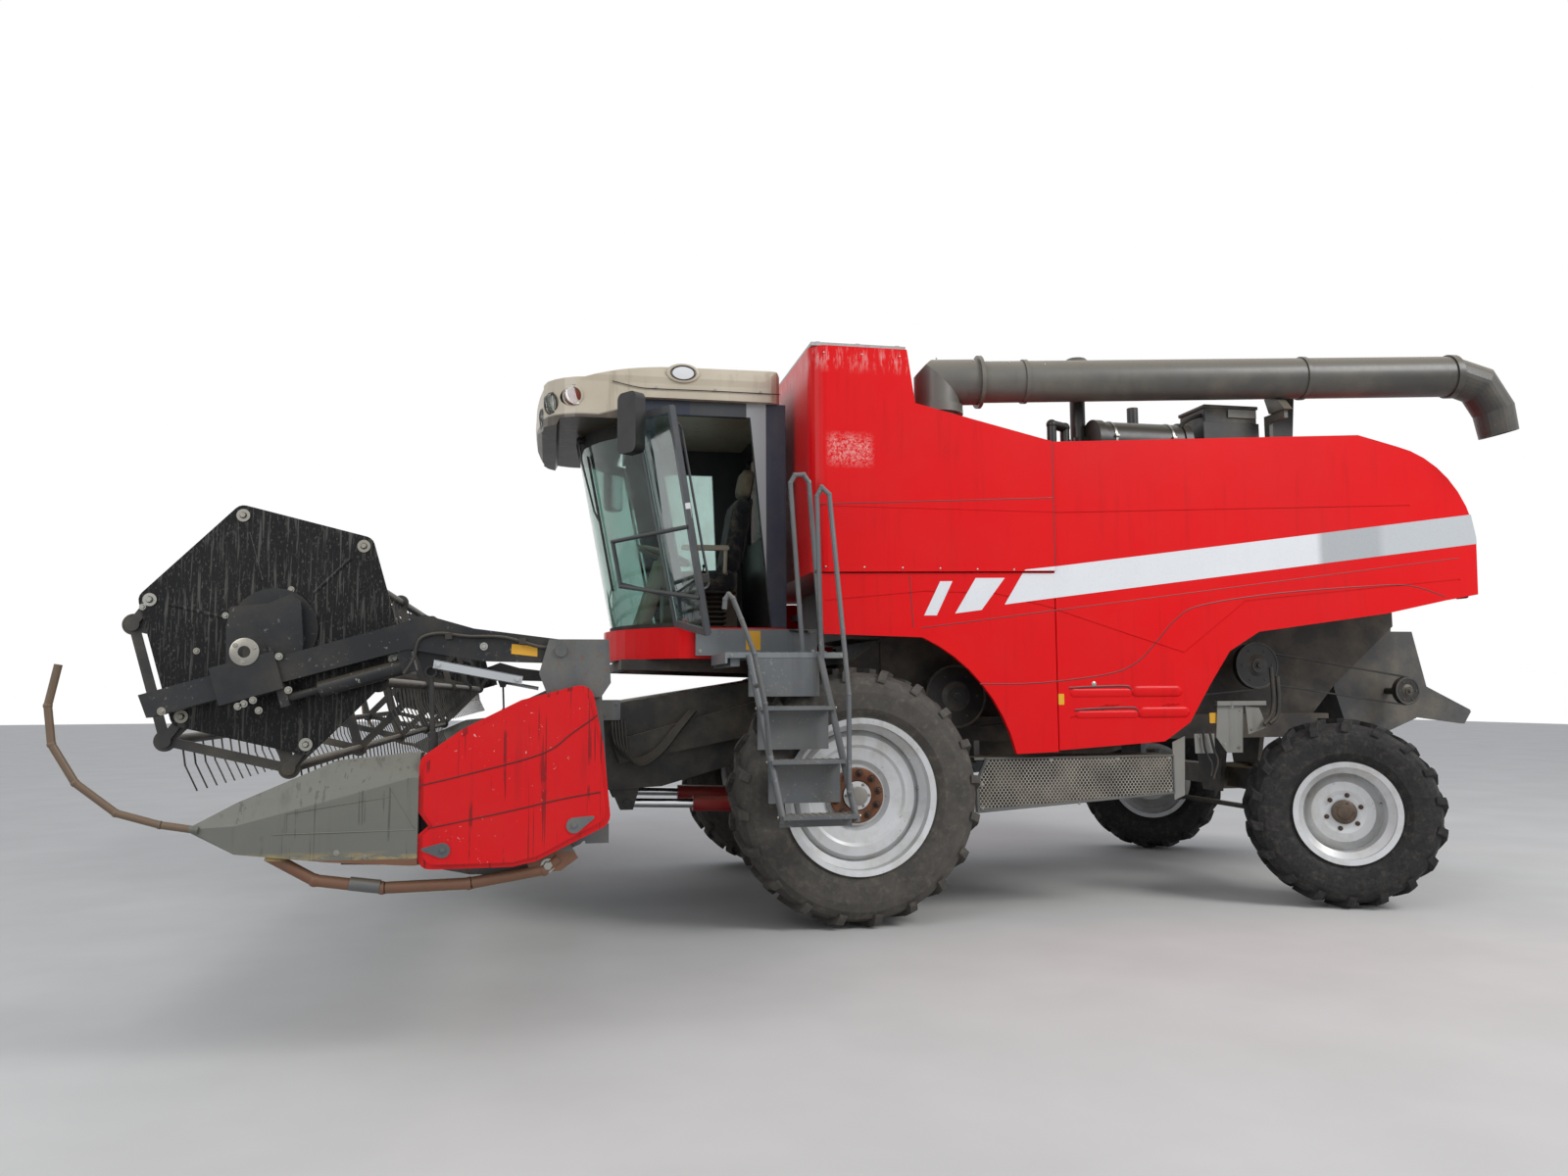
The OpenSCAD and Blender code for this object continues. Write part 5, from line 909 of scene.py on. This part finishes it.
def stringer(k, z):
    """A point on the ladder's stringer at a height."""
    f = (z - 720) / (1750 - 720)
    return np.array([-750 + k * 460 + 170 * (1 - f), -1900 + 236 * f, z])


rows = [stringer(0, z) + [x, y, 22] for z in (745, 1075, 1405)
        for x in np.arange(24, 452, 46) for y in np.arange(-42, 112, 34)]
rows += [(x, y, 1770) for x in np.arange(-870, -120, 62) for y in np.arange(-1610, -1040, 62)]
stud = lathe([(9, 0), (8, 4), (5, 4), (4, 1)], 8)
piece("step_studs", copies(stud, rows), STEP_GREY, "cover_grey", smooth=False)
spots = [stringer(k, z) + [-24 if k == 0 else 24, 0, 0] for k in (0, 1) for z in (756, 1086, 1416)]
places = joined(bolts(spots[:3], (-1, 0, 0), 9, 8), bolts(spots[3:], (1, 0, 0), 9, 8),
                wall_bolts([(x, z) for x in (-980, -190) for z in (1800, 1925)], -1029, 9, 7),
                wall_bolts([(-860, 1752), (-140, 1752)], -1641, 8, 7))
piece("step_bolts", places, STEEL, "cover_grey")

# Body

lock = joined(lathe([(17, -1.5), (17, 2), (12, 4.5), (0.5, 5)], 20, (1706, PANEL_Y, 1562), LEFT),
              lathe([(6, 4), (5, 8), (0.5, 8.5)], 10, (1706, PANEL_Y, 1562), LEFT))
both("panel_locks", lock, STEEL, "body_red")
rivet = lathe([(7, -1), (6, 2), (3, 3.5), (0.5, 4)], 10, axis=LEFT)
spots = [(x, TANK_Y, z) for x in np.arange(-200, 1400, 266) for z in (2345, 3800)]
both("tank_rivets", copies(rivet, spots), STEEL, "body_red")


# Body lines, louvres and guard

def wall_line(points, y, r=3.6, smooth=0):
    """A narrow pressed line on a left wall: a tube along points (x, z), squashed to a quarter."""
    path = [(x, y, z) for x, z in points]
    verts, faces = tube(smooth_path(path, smooth) if smooth else path, r, 6)
    return np.stack([verts[:, 0], y + 0.25 * (verts[:, 1] - y), verts[:, 2]], 1), faces


def straight(a, b, n=9):
    """Points from a to b at even steps."""
    return np.array(a) + (np.array(b) - a) * np.linspace(0, 1, n)[:, None]


# painted shade: the pressed lines on the tank and the panels are drawn as thin dark beads
lines = [wall_line(straight((-240, 2762), (1428, 2852)), TANK_Y),
         wall_line(straight((1433, 2385), (1433, 3236)), TANK_Y),
         wall_line(straight((386, 2296), (407, 1941)), PANEL_Y),
         wall_line(straight((463, 1941), (1487, 2076)), PANEL_Y),
         wall_line(straight((1487, 2076), (4700, 2492), 21), PANEL_Y, 3.0),
         wall_line([(873, 1564), (1299, 1569), (1810, 1628), (2035, 1710), (2191, 1854), (2348, 2014),
                    (2543, 2113), (3132, 2204), (3942, 2271), (4274, 2276), (4560, 2200)], PANEL_Y, 4.5, 8)]
both("panel_seams", joined(*lines), SEAM_SHADE, "body_red")


def pill(a, b, high):
    """A pressed rib with round ends: an outline shrinks inwards while its height rises as a quarter sine."""
    outline = rounded(a, b, (b[1] - a[1]) / 2 - 0.5, 8)
    middle = (np.array(a) + b) / 2
    lift = np.linspace(0, np.pi / 2, 7)
    reach = np.stack([(b[0] - a[0]) / 2 - (1 - np.cos(lift)) * 0.42 * (b[1] - a[1]),
                      (b[1] - a[1]) / 2 * (1 - 0.84 * (1 - np.cos(lift)))], 1)
    unit = (outline - middle) / [(b[0] - a[0]) / 2, (b[1] - a[1]) / 2]
    rows = [np.stack([middle[0] + unit[:, 0] * s[0], np.full(len(unit), PANEL_Y + 0.4 - high * math.sin(t)),
                      middle[1] + unit[:, 1] * s[1]], 1) for s, t in zip(reach, lift)]
    return loft(np.array(rows))


ribs = joined(pill((1985, 1471), (2373, 1551), 16), pill((2030, 1325), (2428, 1404), 16),
              pill((1526, 1471), (1991, 1529), 8), pill((1566, 1325), (2035, 1377), 8))
both("louvre_ribs", ribs, RED, "body_red")
# painted shade: dark strips along the top and the rear end of each hooded louvre
shade = [wall_line(line, PANEL_Y - 1, 8, 6)
         for line in ([(1520, 1533), (1700, 1541), (1935, 1545), (1975, 1532), (1990, 1508)],
                      [(1560, 1381), (1740, 1391), (1980, 1395), (2020, 1382), (2034, 1358)])]
both("louvre_shades", joined(*shade), SEAM_SHADE, "body_red")

GUARD_Y = -1391.0
sheet = prism([(872, 722), (872, 892), (944, 1050), (2312, 1050), (2312, 808)], GUARD_Y - 0.6,
              GUARD_Y + 0.8)
both("guard_mesh", sheet, PERFORATED, "cover_grey", smooth=False)
rim = [(x, GUARD_Y, z) for x, z in [(861, 702), (861, 896), (938, 1058), (2322, 1058), (2322, 799)]]
edge = tube(np.vstack([straight(a, b, 12)[:-1] for a, b in zip(rim, rim[1:] + rim[:1])]), 7, 6, True)
both("guard_edge", edge, GUARD, "cover_grey")

# pale upright plate that ends the guard, with its bolts
post = [(2322, 1150), (2420, 1192), (2404, 780), (2324, 748)]
both("guard_post", prism(post, -1388, -1382), PLATE_GREY, "cover_grey", smooth=False)
spots = [(895, 730), (895, 890), (1400, 1040), (1900, 1040), (2290, 1040), (2290, 815), (1600, 745)]
both("guard_bolts", wall_bolts(spots, GUARD_Y - 1, 8, 6), STEEL, "cover_grey")

# Rear frame, seen under the side panels

plates = [[(2785, 1423), (2993, 1428), (2976, 1060), (2850, 1060), (2766, 1173)],
          [(3008, 1399), (3120, 1384), (3180, 1240), (3024, 1190)],
          [(2583, 1200), (2745, 1200), (2745, 1060), (2588, 1060)]]
parts = [prism(p, -1228 - 5 * k, -1223 - 5 * k) for k, p in enumerate(plates)]
parts.append(box((2770, -1252, 1402), (3167, -1216, 1434)))
both("frame_plates", joined(*parts), PLATE_GREY, "frame_red", smooth=False, soften=1.5)
both("frame_plate_bolts", bolts([(2830, -1229, 1120), (2945, -1229, 1100), (2900, -1229, 1395),
                                 (3050, -1234, 1230), (3140, -1234, 1262), (2620, -1239, 1180)],
                                LEFT, 9, 7), STEEL, "frame_red")
routes = [[(3259, 1615), (3262, 1420), (3240, 1320), (3180, 1270)],
          [(3205, 1680), (3215, 1450), (3190, 1330), (3130, 1262)],
          [(2640, 1210), (2655, 1080), (2700, 980), (2690, 900)],
          [(2690, 1210), (2720, 1080), (2745, 1000), (2705, 880)]]
hoses = [tube(smooth_path([(x, -1262 - 6 * (k % 2), z) for x, z in r], 8), 15 if k < 2 else 9, 10)
         for k, r in enumerate(routes)]
both("frame_hoses", joined(*hoses), HOSE, "frame_red")


def pulley_face(x, z, r, y):
    """A pulley's outer face turned about Y: a rim, a web set back with a rib, a hub with its nut."""
    return joined(lathe([(r - 1, -6), (r - 1, 4), (r - 14, 4), (r - 18, -3), (0.5 * r, -3), (0.42 * r, 5),
                         (0.30 * r, 12), (0.30 * r, 20), (0.5, 20)], 40, (x, y, z), LEFT),
                  aimed(bolt(0.13 * r, 18), np.array([x, y - 20, z]), LEFT),
                  copies(aimed(bolt(8, 7), np.zeros(3), LEFT),
                         [(x + 0.7 * r * math.cos(a), y + 2, z + 0.7 * r * math.sin(a))
                          for a in np.arange(6) * math.pi / 3]))


PULLEYS = [(900, 1480, 230, -902), (1800, 1480, 150, -962), (3300, 1700, 180, -962),
           (4640, 1500, 110, -922)]
piece("pulley_faces", joined(*[pulley_face(*p) for p in PULLEYS]), ENGINE, "black_parts")

# engine deck and tube's rest
CLAMP_X = (2010, 2465)
housing = joined(box((2715, -1320, 3478), (3140, -985, 3590)), box((2705, -1330, 3586), (3150, -975, 3612)))
piece("filter_housing", housing, ENGINE, "engine_grey", smooth=False, soften=6)
piece("filter_plate", box((2900, -1334, 3520), (3130, -1330, 3580)), PLATE_GREY, "engine_grey",
      smooth=False)
pipe = smooth_path([(2600, -1250, 3395), (2560, -1255, 3420), (2565, -1260, 3470), (2640, -1262, 3520),
                    (2720, -1262, 3545)], 8)
piece("filter_pipe", tube(pipe, 16, 12), HOSE, "engine_grey")
clamps = [lathe([(151, -8), (155, -8), (155, 8), (151, 8)], 48, (x, -1170, 3330), (1, 0, 0), closed=True)
          for x in CLAMP_X]
clamps += [aimed(prism(rounded((-12, -10), (12, 10), 3), -14, 14, "z"), (x, -1325, 3350), (1, 0, 0))
           for x in CLAMP_X]
piece("cleaner_clamps", joined(*clamps), STEEL, "engine_grey")
rest = [(3262, 3392), (3345, 3722), (3505, 3730), (3478, 3392)]
piece("tube_rest_plate", prism(rest, -1262, -1254), BLACK, "black_parts", smooth=False, soften=1.5)

# rear end: lamp clusters on the hood's corners
lens = prism(rounded((-1345, 2290), (-1235, 2410), 16), 4852, 4866, "x")
rim = prism(rounded((-1355, 2200), (-1225, 2500), 20), 4846, 4856, "x")
both("tail_lamp_rims", rim, BLACK, "body_red", soften=4)
both("tail_lamp_lenses", lens, RED_LENS, "lamp_lens", soften=4)
amber = prism(rounded((-1340, 2425), (-1240, 2485), 14), 4852, 4866, "x")
both("turn_lamp_lenses", amber, ORANGE_LENS, "lamp_lens", soften=4)

# Header

# groove lines pressed in each end cover, drawn as fine beads of painted shade in the seam
lines = [[(-2494, 1148), (-2313, 1189), (-2013, 1268), (-1891, 1351), (-1788, 1424)],
         [(-2462, 976), (-2161, 1033), (-1934, 1080), (-1772, 1106)]]
COVER_FACE = -3929.0
beads = joined(*[tube([(x, COVER_FACE - 0.2, z) for x, z in smooth_path(o, 6)], 3.2, 6) for o in lines])
both("cover_lines", beads, SEAM_SHADE, "body_red", "header")
# teardrop latches with their bolts
drops = []
for tip, heart, r in (((-2478, 893), (-2402, 887), 30), ((-1802, 1003), (-1879, 972), 32)):
    tip, heart = np.array(tip, float), np.array(heart, float)
    lean = math.atan2(*(tip - heart)[::-1])
    reach = np.linalg.norm(tip - heart)
    spread = math.acos((r - 6) / reach)
    turns = np.linspace(lean + spread, lean - spread + 2 * math.pi, 18)
    small = np.linspace(lean - spread, lean + spread, 6)
    rows = np.vstack([heart + r * np.stack([np.cos(turns), np.sin(turns)], 1),
                      tip + 6 * np.stack([np.cos(small), np.sin(small)], 1)])
    drops += [prism(rows, COVER_FACE - 5, COVER_FACE + 0.4), wall_bolts([heart], COVER_FACE - 5, 10, 7),
              wall_bolts([tip * 0.8 + heart * 0.2], COVER_FACE - 5, 4, 3)]
both("cover_latches", joined(*drops), GUARD, "body_red", "header")

# silver safety bar along the lift, its hinge bolts
bar = joined(prism([(-2456, 1660), (-2096, 1590), (-2101, 1552), (-2461, 1622)], -3866, -3862),
             prism([(-2456, 1660), (-2096, 1590), (-2096, 1586), (-2456, 1656)], -3866, -3826),
             prism([(-2461, 1626), (-2101, 1556), (-2101, 1552), (-2461, 1622)], -3866, -3826),
             wall_bolts([(-2440, 1638), (-2118, 1576)], -3866, 10, 8))
both("safety_bar", bar, ZINC, "arm_grey", "reel_arms", soften=1)
outline = [(-2144, 1725), (-2038, 1717), (-2038, 1672), (-2146, 1684)]
piece("arm_sticker", film(outline, -3850.9), STICKER, "arm_grey", "reel_arms", smooth=False)

# hose that runs along each arm to the slide's cylinder, with its clips and the pin's bolts
path = smooth_path([(-1930, -3858, 1728), (-2019, -3862, 1712), (-2174, -3862, 1752),
                    (-2327, -3862, 1756), (-2440, -3862, 1768), (-2516, -3862, 1742),
                    (-2540, -3862, 1660), (-2575, -3864, 1600)], 8)
clips = copies(prism([(-14, -4), (14, -4), (14, 22), (-14, 22)], -3872, -3850),
               [(-2100, 0, 1728), (-2400, 0, 1748)])
both("arm_hoses", joined(tube(path, 7, 8), clips), HOSE, "arm_grey", "reel_arms")
ends = joined(wall_bolts([(-1940, 1695)], -3851, 22, 14),
              wall_bolts([(-2258, 1715), (-3492, 1455)], -3851, 11, 8))
both("arm_bolts", ends, STEEL, "arm_grey", "reel_arms")
spots = [(-3207, 1472), (-3185, 1482), (-3151, 1496), (-3128, 1455), (-3019, 1536), (-3059, 1672)]
both("slide_bolts", wall_bolts(spots, -3867.5, 10, 8), STEEL, "arm_grey", "reel_carriages")
spots = [(-3190 + 42 * math.cos(a), 1690 + 42 * math.sin(a)) for a in (0.4, 2.5, 4.6)]
flange = joined(lathe([(24, 0), (24, 5), (52, 5), (56, 3), (56, 0)], 36, (-3190, -3868, 1690), LEFT,
                      closed=True),
                wall_bolts(spots, -3873, 7, 5))
both("bearing_flange", flange, STEEL, "arm_grey", "reel_carriages")
spots = [(-3194, 1907), (-3207, 1850), (-3108, 1854), (-3314, 1848), (-3293, 1799), (-3632, 1881),
         (-3060, 1960), (-3420, 1700), (-2960, 1640)]
both("plate_bolts", wall_bolts(spots, -3680.5, 9, 7), STEEL, "reel_black", "control_plates")


# divider: seam lines of the moulding, bolts, clamps round the skid tube
def on_nose(x, z):
    """Y of the nose's outer side: it draws in from its base to its tip and towards its top."""
    stations = [-3360, -3200, -2840, -2500]
    side = np.interp(x, stations, [-3845, -3880, -3905, -3925])
    high = np.interp(x, stations, [1000, 1000, 1090, 1180])
    return side + np.clip(z - high, 0, 200) * 0.45


for name, outline in (("a", [(-2670, 1262), (-2590, 1110), (-2512, 980)]),
                      ("b", [(-3053, 965), (-2800, 968), (-2512, 972)]),
                      ("c", [(-3007, 1046), (-2800, 1078), (-2606, 1106)]),
                      ("d", [(-3007, 1046), (-3007, 966)])):
    rows = [(x, on_nose(x, z) - 0.6, z) for x, z in smooth_path(outline, 8)]
    both("nose_line_" + name, tube(rows, 2.6, 6), DIVIDER, "divider_grey", "header")
spots = [(-2811, -3906.5, 888), (-2700, -3913, 871)]
both("nose_bolts", joined(bolts(spots, LEFT, 8, 6), wall_bolts([(-1984, 803)], -3863, 20, 14)), STEEL,
     "divider_grey", "header")
clamp = tube([(x, -3850, z) for x, z in ((-2766, 757), (-2700, 747), (-2648, 740))], 28, 14)
both("skid_clamp", clamp, GUARD, "divider_grey", "header")

# hydraulic hoses and the coupler block from the feeder house to the header
block = prism(rounded((-1640, 1330), (-1500, 1470), 12), -760, -700)
runs = [tube(smooth_path([(-1560 + 22 * k, -740, 1340 - 4 * k),
                          (-1540 + 24 * k, -770 - 8 * k, 1180 - 20 * k),
                          (-1430 + 20 * k, -780 - 8 * k, 1060 - 10 * k),
                          (-1270 + 16 * k, -760 - 6 * k, 1110),
                          (-1130 + 12 * k, -735 - 4 * k, 1260),
                          (-1010 + 10 * k, -712, 1390)], 8), 11, 8) for k in range(5)]
piece("header_hoses", joined(*runs), HOSE, "feeder_black", "header")
piece("hose_block", joined(block, wall_bolts([(-1610, 1360), (-1530, 1440)], -760, 9, 7)), GUARD,
      "feeder_black", "header", soften=3)

# control plates: a pressed rib along each spoke, a washer and nut on each corner's pin
PLATE_AT, PLATE_FACE = np.array([-3120.0, 1790.0]), -3680.6
BAT_CIRCLE, BAT_ANGLE = 500.0, math.radians(46)
rows, pins = [], []
for k in range(6):
    spoke = np.array([math.cos(BAT_ANGLE + k * math.pi / 3), math.sin(BAT_ANGLE + k * math.pi / 3)])
    ends = [PLATE_AT + spoke * r for r in (215, 425)]
    path = [(p[0], PLATE_FACE, p[1]) for p in np.linspace(*ends, 8)]
    verts, faces = tube(path, 8, 8)
    rows.append((np.stack([verts[:, 0], PLATE_FACE + 0.45 * (verts[:, 1] - PLATE_FACE), verts[:, 2]], 1),
                 faces))
    pins.append((PLATE_AT[0] + spoke[0] * BAT_CIRCLE, PLATE_FACE - 2, PLATE_AT[1] + spoke[1] * BAT_CIRCLE))
both("plate_ribs", joined(*rows), SHEET, "reel_black", "control_plates")
washers = joined(copies(lathe([(14, 0), (27, 0), (27, 4), (14, 4)], 24, axis=LEFT, closed=True), pins),
                 bolts([(x, y - 4, z) for x, y, z in pins], LEFT, 13, 12, False))
both("pin_nuts", washers, STEEL, "reel_black", "control_plates")

# Seat

def cushion(name, part, material, cap_mm):
    """A padded piece: its closed shape is remeshed finely, blown up a little as cloth, and each point is
    kept within cap_mm of where it was."""
    made = piece(name, part, material, "seat_cloth")
    for other in bpy.context.selected_objects:
        other.select_set(False)
    made.select_set(True)
    made.data.remesh_voxel_size = 0.006
    bpy.ops.object.voxel_remesh()
    rest = np.zeros(len(made.data.vertices) * 3)
    made.data.vertices.foreach_get("co", rest)
    soft = made.modifiers.new("stuffing", "CLOTH")
    soft.settings.use_pressure = True
    soft.settings.uniform_pressure_force = 4.0
    soft.settings.effector_weights.gravity = 0.0
    soft.settings.quality = 5
    scene = bpy.context.scene
    for step in range(1, 21):
        scene.frame_set(step)
    shape = made.evaluated_get(bpy.context.evaluated_depsgraph_get()).data
    blown = np.zeros(len(rest))
    shape.vertices.foreach_get("co", blown)
    made.modifiers.remove(soft)
    scene.frame_set(1)
    move = (blown - rest).reshape(-1, 3)
    reach = np.linalg.norm(move, axis=1, keepdims=True)
    move *= np.minimum(1.0, cap_mm / 1000 / np.maximum(reach, 1e-9))
    made.data.vertices.foreach_set("co", (rest.reshape(-1, 3) + move).ravel())
    made.data.update()
    made.data.polygons.foreach_set("use_smooth", np.ones(len(made.data.polygons), bool))
    if made.data.materials:
        made.data.materials[0] = material
    else:
        made.data.materials.append(material)
    level = made.modifiers.new("smooth", "SUBSURF")
    level.levels = level.render_levels = 1
    return made


def leaned(part, place, angle):
    """A part drawn upright about the origin, leaned back about Y and moved to a place."""
    v, f = part
    a = math.radians(angle)
    return np.stack([v[:, 0] * math.cos(a) + v[:, 2] * math.sin(a), v[:, 1],
                     v[:, 2] * math.cos(a) - v[:, 0] * math.sin(a)], 1) + place, f


def crowned(size, r, crown):
    """A pad between flat outlines: rings whose reach is 0.9 + 0.1 (1 - h^4)^(1/3), thicker in the middle."""
    outline = rounded((-size[0] / 2, -size[1] / 2), (size[0] / 2, size[1] / 2), r, 8)
    h = np.linspace(-1, 1, 11)[:, None]
    reach = 0.90 + 0.10 * (1 - h ** 4) ** (1 / 3)
    height = np.broadcast_to(h * (size[2] / 2 + crown * (h > 0)), (len(h), len(outline)))
    return loft(np.stack([outline[None, :, 0] * reach, outline[None, :, 1] * reach, height], -1))


def upright(part):
    """A pad turned to stand: its thickness along X, its first side across the seat, its second side up."""
    v, f = part
    return np.stack([-v[:, 2], v[:, 0], v[:, 1]], 1), f


SEAT_Y = -150.0
base = leaned(crowned((480, 480, 130), 70, 10), (-855, SEAT_Y, 2338), -3)
cushion("seat_cushion", base, SEAT_CLOTH, 16)
back = leaned(upright(crowned((460, 580, 96), 85, 8)), (-606, SEAT_Y, 2700), 10)
cushion("seat_back", back, SEAT_CLOTH, 18)
head = leaned(upright(crowned((280, 210, 78), 60, 6)), (-516, SEAT_Y, 3118), 10)
cushion("seat_head", head, SEAT_BEIGE, 12)
# hard parts of the seat: bellows of its pedestal, shells, arm rest with its pad
h = np.linspace(1966, 2262, 17)
bellows = np.stack([rounded((-850 - w, SEAT_Y - w), (-850 + w, SEAT_Y + w), 40, 4)
                    for w in 158 + 14 * np.cos(np.arange(17) * math.pi)])
rows = np.concatenate([bellows, np.broadcast_to(h[:, None, None], (17, bellows.shape[1], 1))], -1)
shell = prism(rounded((-232, -228), (232, 300), 80), 0, 14, "z")
back_shell = leaned(upright(shell), (-540, SEAT_Y, 2690), 10)
pan = prism(rounded((-1090, SEAT_Y - 235), (-620, SEAT_Y + 235), 60), 2256, 2272, "z")
arm = joined(prism(rounded((-1040, 2566), (-690, 2604), 16), SEAT_Y - 326, SEAT_Y - 276),
             tube([(-720, SEAT_Y - 300, 2400), (-715, SEAT_Y - 300, 2570)], 16, 10),
             tube([(-720, SEAT_Y - 300, 2404), (-690, SEAT_Y - 200, 2404)], 14, 10))
piece("seat_shell", joined(loft(rows), back_shell, pan), RUBBER_SEAL, "seat_cloth", soften=2)
piece("seat_arm", arm, CONSOLE, "console_beige", soften=4)
for name in ("seat_cushion", "seat_back", "seat_head", "seat_shell", "seat_arm"):
    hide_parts("seat")

# controls on the side console: display, drive lever, small levers
v, f = prism(rounded((-105, -78), (105, 78), 12), -10, 10)
a = math.radians(28)
v = np.stack([v[:, 0] * math.sin(a) + v[:, 1] * math.cos(a), v[:, 0] * math.cos(a) + v[:, 1] * math.sin(a),
              v[:, 2]], 1)
piece("display", (v + [-1080, 300, 2700], f), GLOVE, "console_beige", soften=3)
piece("display_arm", tube([(-1060, 320, 2480), (-1066, 310, 2620), (-1072, 306, 2690)], 10, 10), BLACK,
      "console_beige")
grip = lathe([(10, 0), (10, 40), (20, 60), (24, 100), (20, 132), (8, 142), (0.5, 143)], 20,
             (-1010, 330, 2480), (-0.2, 0, 1))
piece("drive_lever", grip, GLOVE, "console_beige")
spots = [(-860, 300), (-820, 330), (-780, 360)]
knob = lathe([(9, 0), (13, 12), (9, 24), (0.5, 26)], 14)
levers = joined(*[tube([(x, y, 2479), (x + 8, y, 2530)], 6, 8) for x, y in spots],
                copies(knob, [(x + 8, y, 2526) for x, y in spots]))
piece("small_levers", levers, GLOVE, "console_beige")


# Floor, light and camera

# ground concrete: pale, matt, faintly blotched
FLOOR = finish("pale_concrete", "#c6c5c1", 0.85, "#cdccc8", dust=0.0, grain=0.2, grain_mm=12)
floor = piece("floor", box((-40000, -30000, -60), (40000, 60000, -0.5)), FLOOR, "table_grey", smooth=False)


def placed(name, data, right, up, back, place):
    """A lamp or a camera, stood in the scene by its three directions and its place."""
    made = bpy.data.objects.new(name, data)
    bpy.context.scene.collection.objects.link(made)
    made.matrix_world = Matrix([*zip(right, up, back, place), (0, 0, 0, 1)])
    return made


def lamp(name, place, aim, size, power):
    """A square soft light at a place, turned to its aim."""
    light = bpy.data.lights.new(name, "AREA")
    light.shape, light.size, light.energy = "SQUARE", size, power
    back = np.array(place, float) - aim
    back /= np.linalg.norm(back)
    side = np.cross([0, 0, 1.0], back)
    side /= np.linalg.norm(side)
    placed(name, light, side, np.cross(back, side), back, place)


lamp("key_softbox", (9.0, -11.0, 11.0), (0, 0, 1.5), 6.0, 1350)
lamp("fill_softbox", (-10.0, -9.0, 7.0), (0, 0, 1.5), 7.0, 420)

# pale studio all round: it lights softly, and shows white to the eye, in gloss and through glass
world = bpy.data.worlds.new("pale_studio")
bpy.context.scene.world = world
world.use_nodes = True
tree = world.node_tree
tree.nodes.clear()
ray = put(tree, "LightPath").outputs
seen = larger(ray["Is Camera Ray"], larger(ray["Is Glossy Ray"], ray["Is Transmission Ray"]))
soft = put(tree, "Background", None, {0: (0.86, 0.90, 1.0, 1), 1: 0.62})
white = put(tree, "Background", None, {0: (1, 1, 1, 1), 1: 1.0})
mix = step("MixShader", None, {0: seen, 1: soft.outputs[0], 2: white.outputs[0]})
put(tree, "OutputWorld", None, {0: mix})

# the photograph's camera: worked out from the wheels, in metres, with its turn as yaw, pitch and roll
CAMERA_AT = (-2.7405, -8.8214, 1.5158)
yaw, pitch, roll = math.radians(11.57), math.radians(5.2), math.radians(-0.32)
ahead = np.array([math.sin(yaw), math.cos(yaw), 0])
right = np.array([math.cos(yaw), -math.sin(yaw), 0])
top = np.array([0, 0, 1.0])
ahead, top = math.cos(pitch) * ahead + math.sin(pitch) * top, math.cos(pitch) * top - math.sin(pitch) * ahead
right, top = (math.cos(roll) * right + math.sin(roll) * top, math.cos(roll) * top - math.sin(roll) * right)
view = bpy.data.cameras.new("camera")
view.lens, view.sensor_width = 26.32, 36.0
bpy.context.scene.camera = placed("camera", view, right, top, -ahead, CAMERA_AT)
bpy.context.scene.view_settings.view_transform = "Standard"
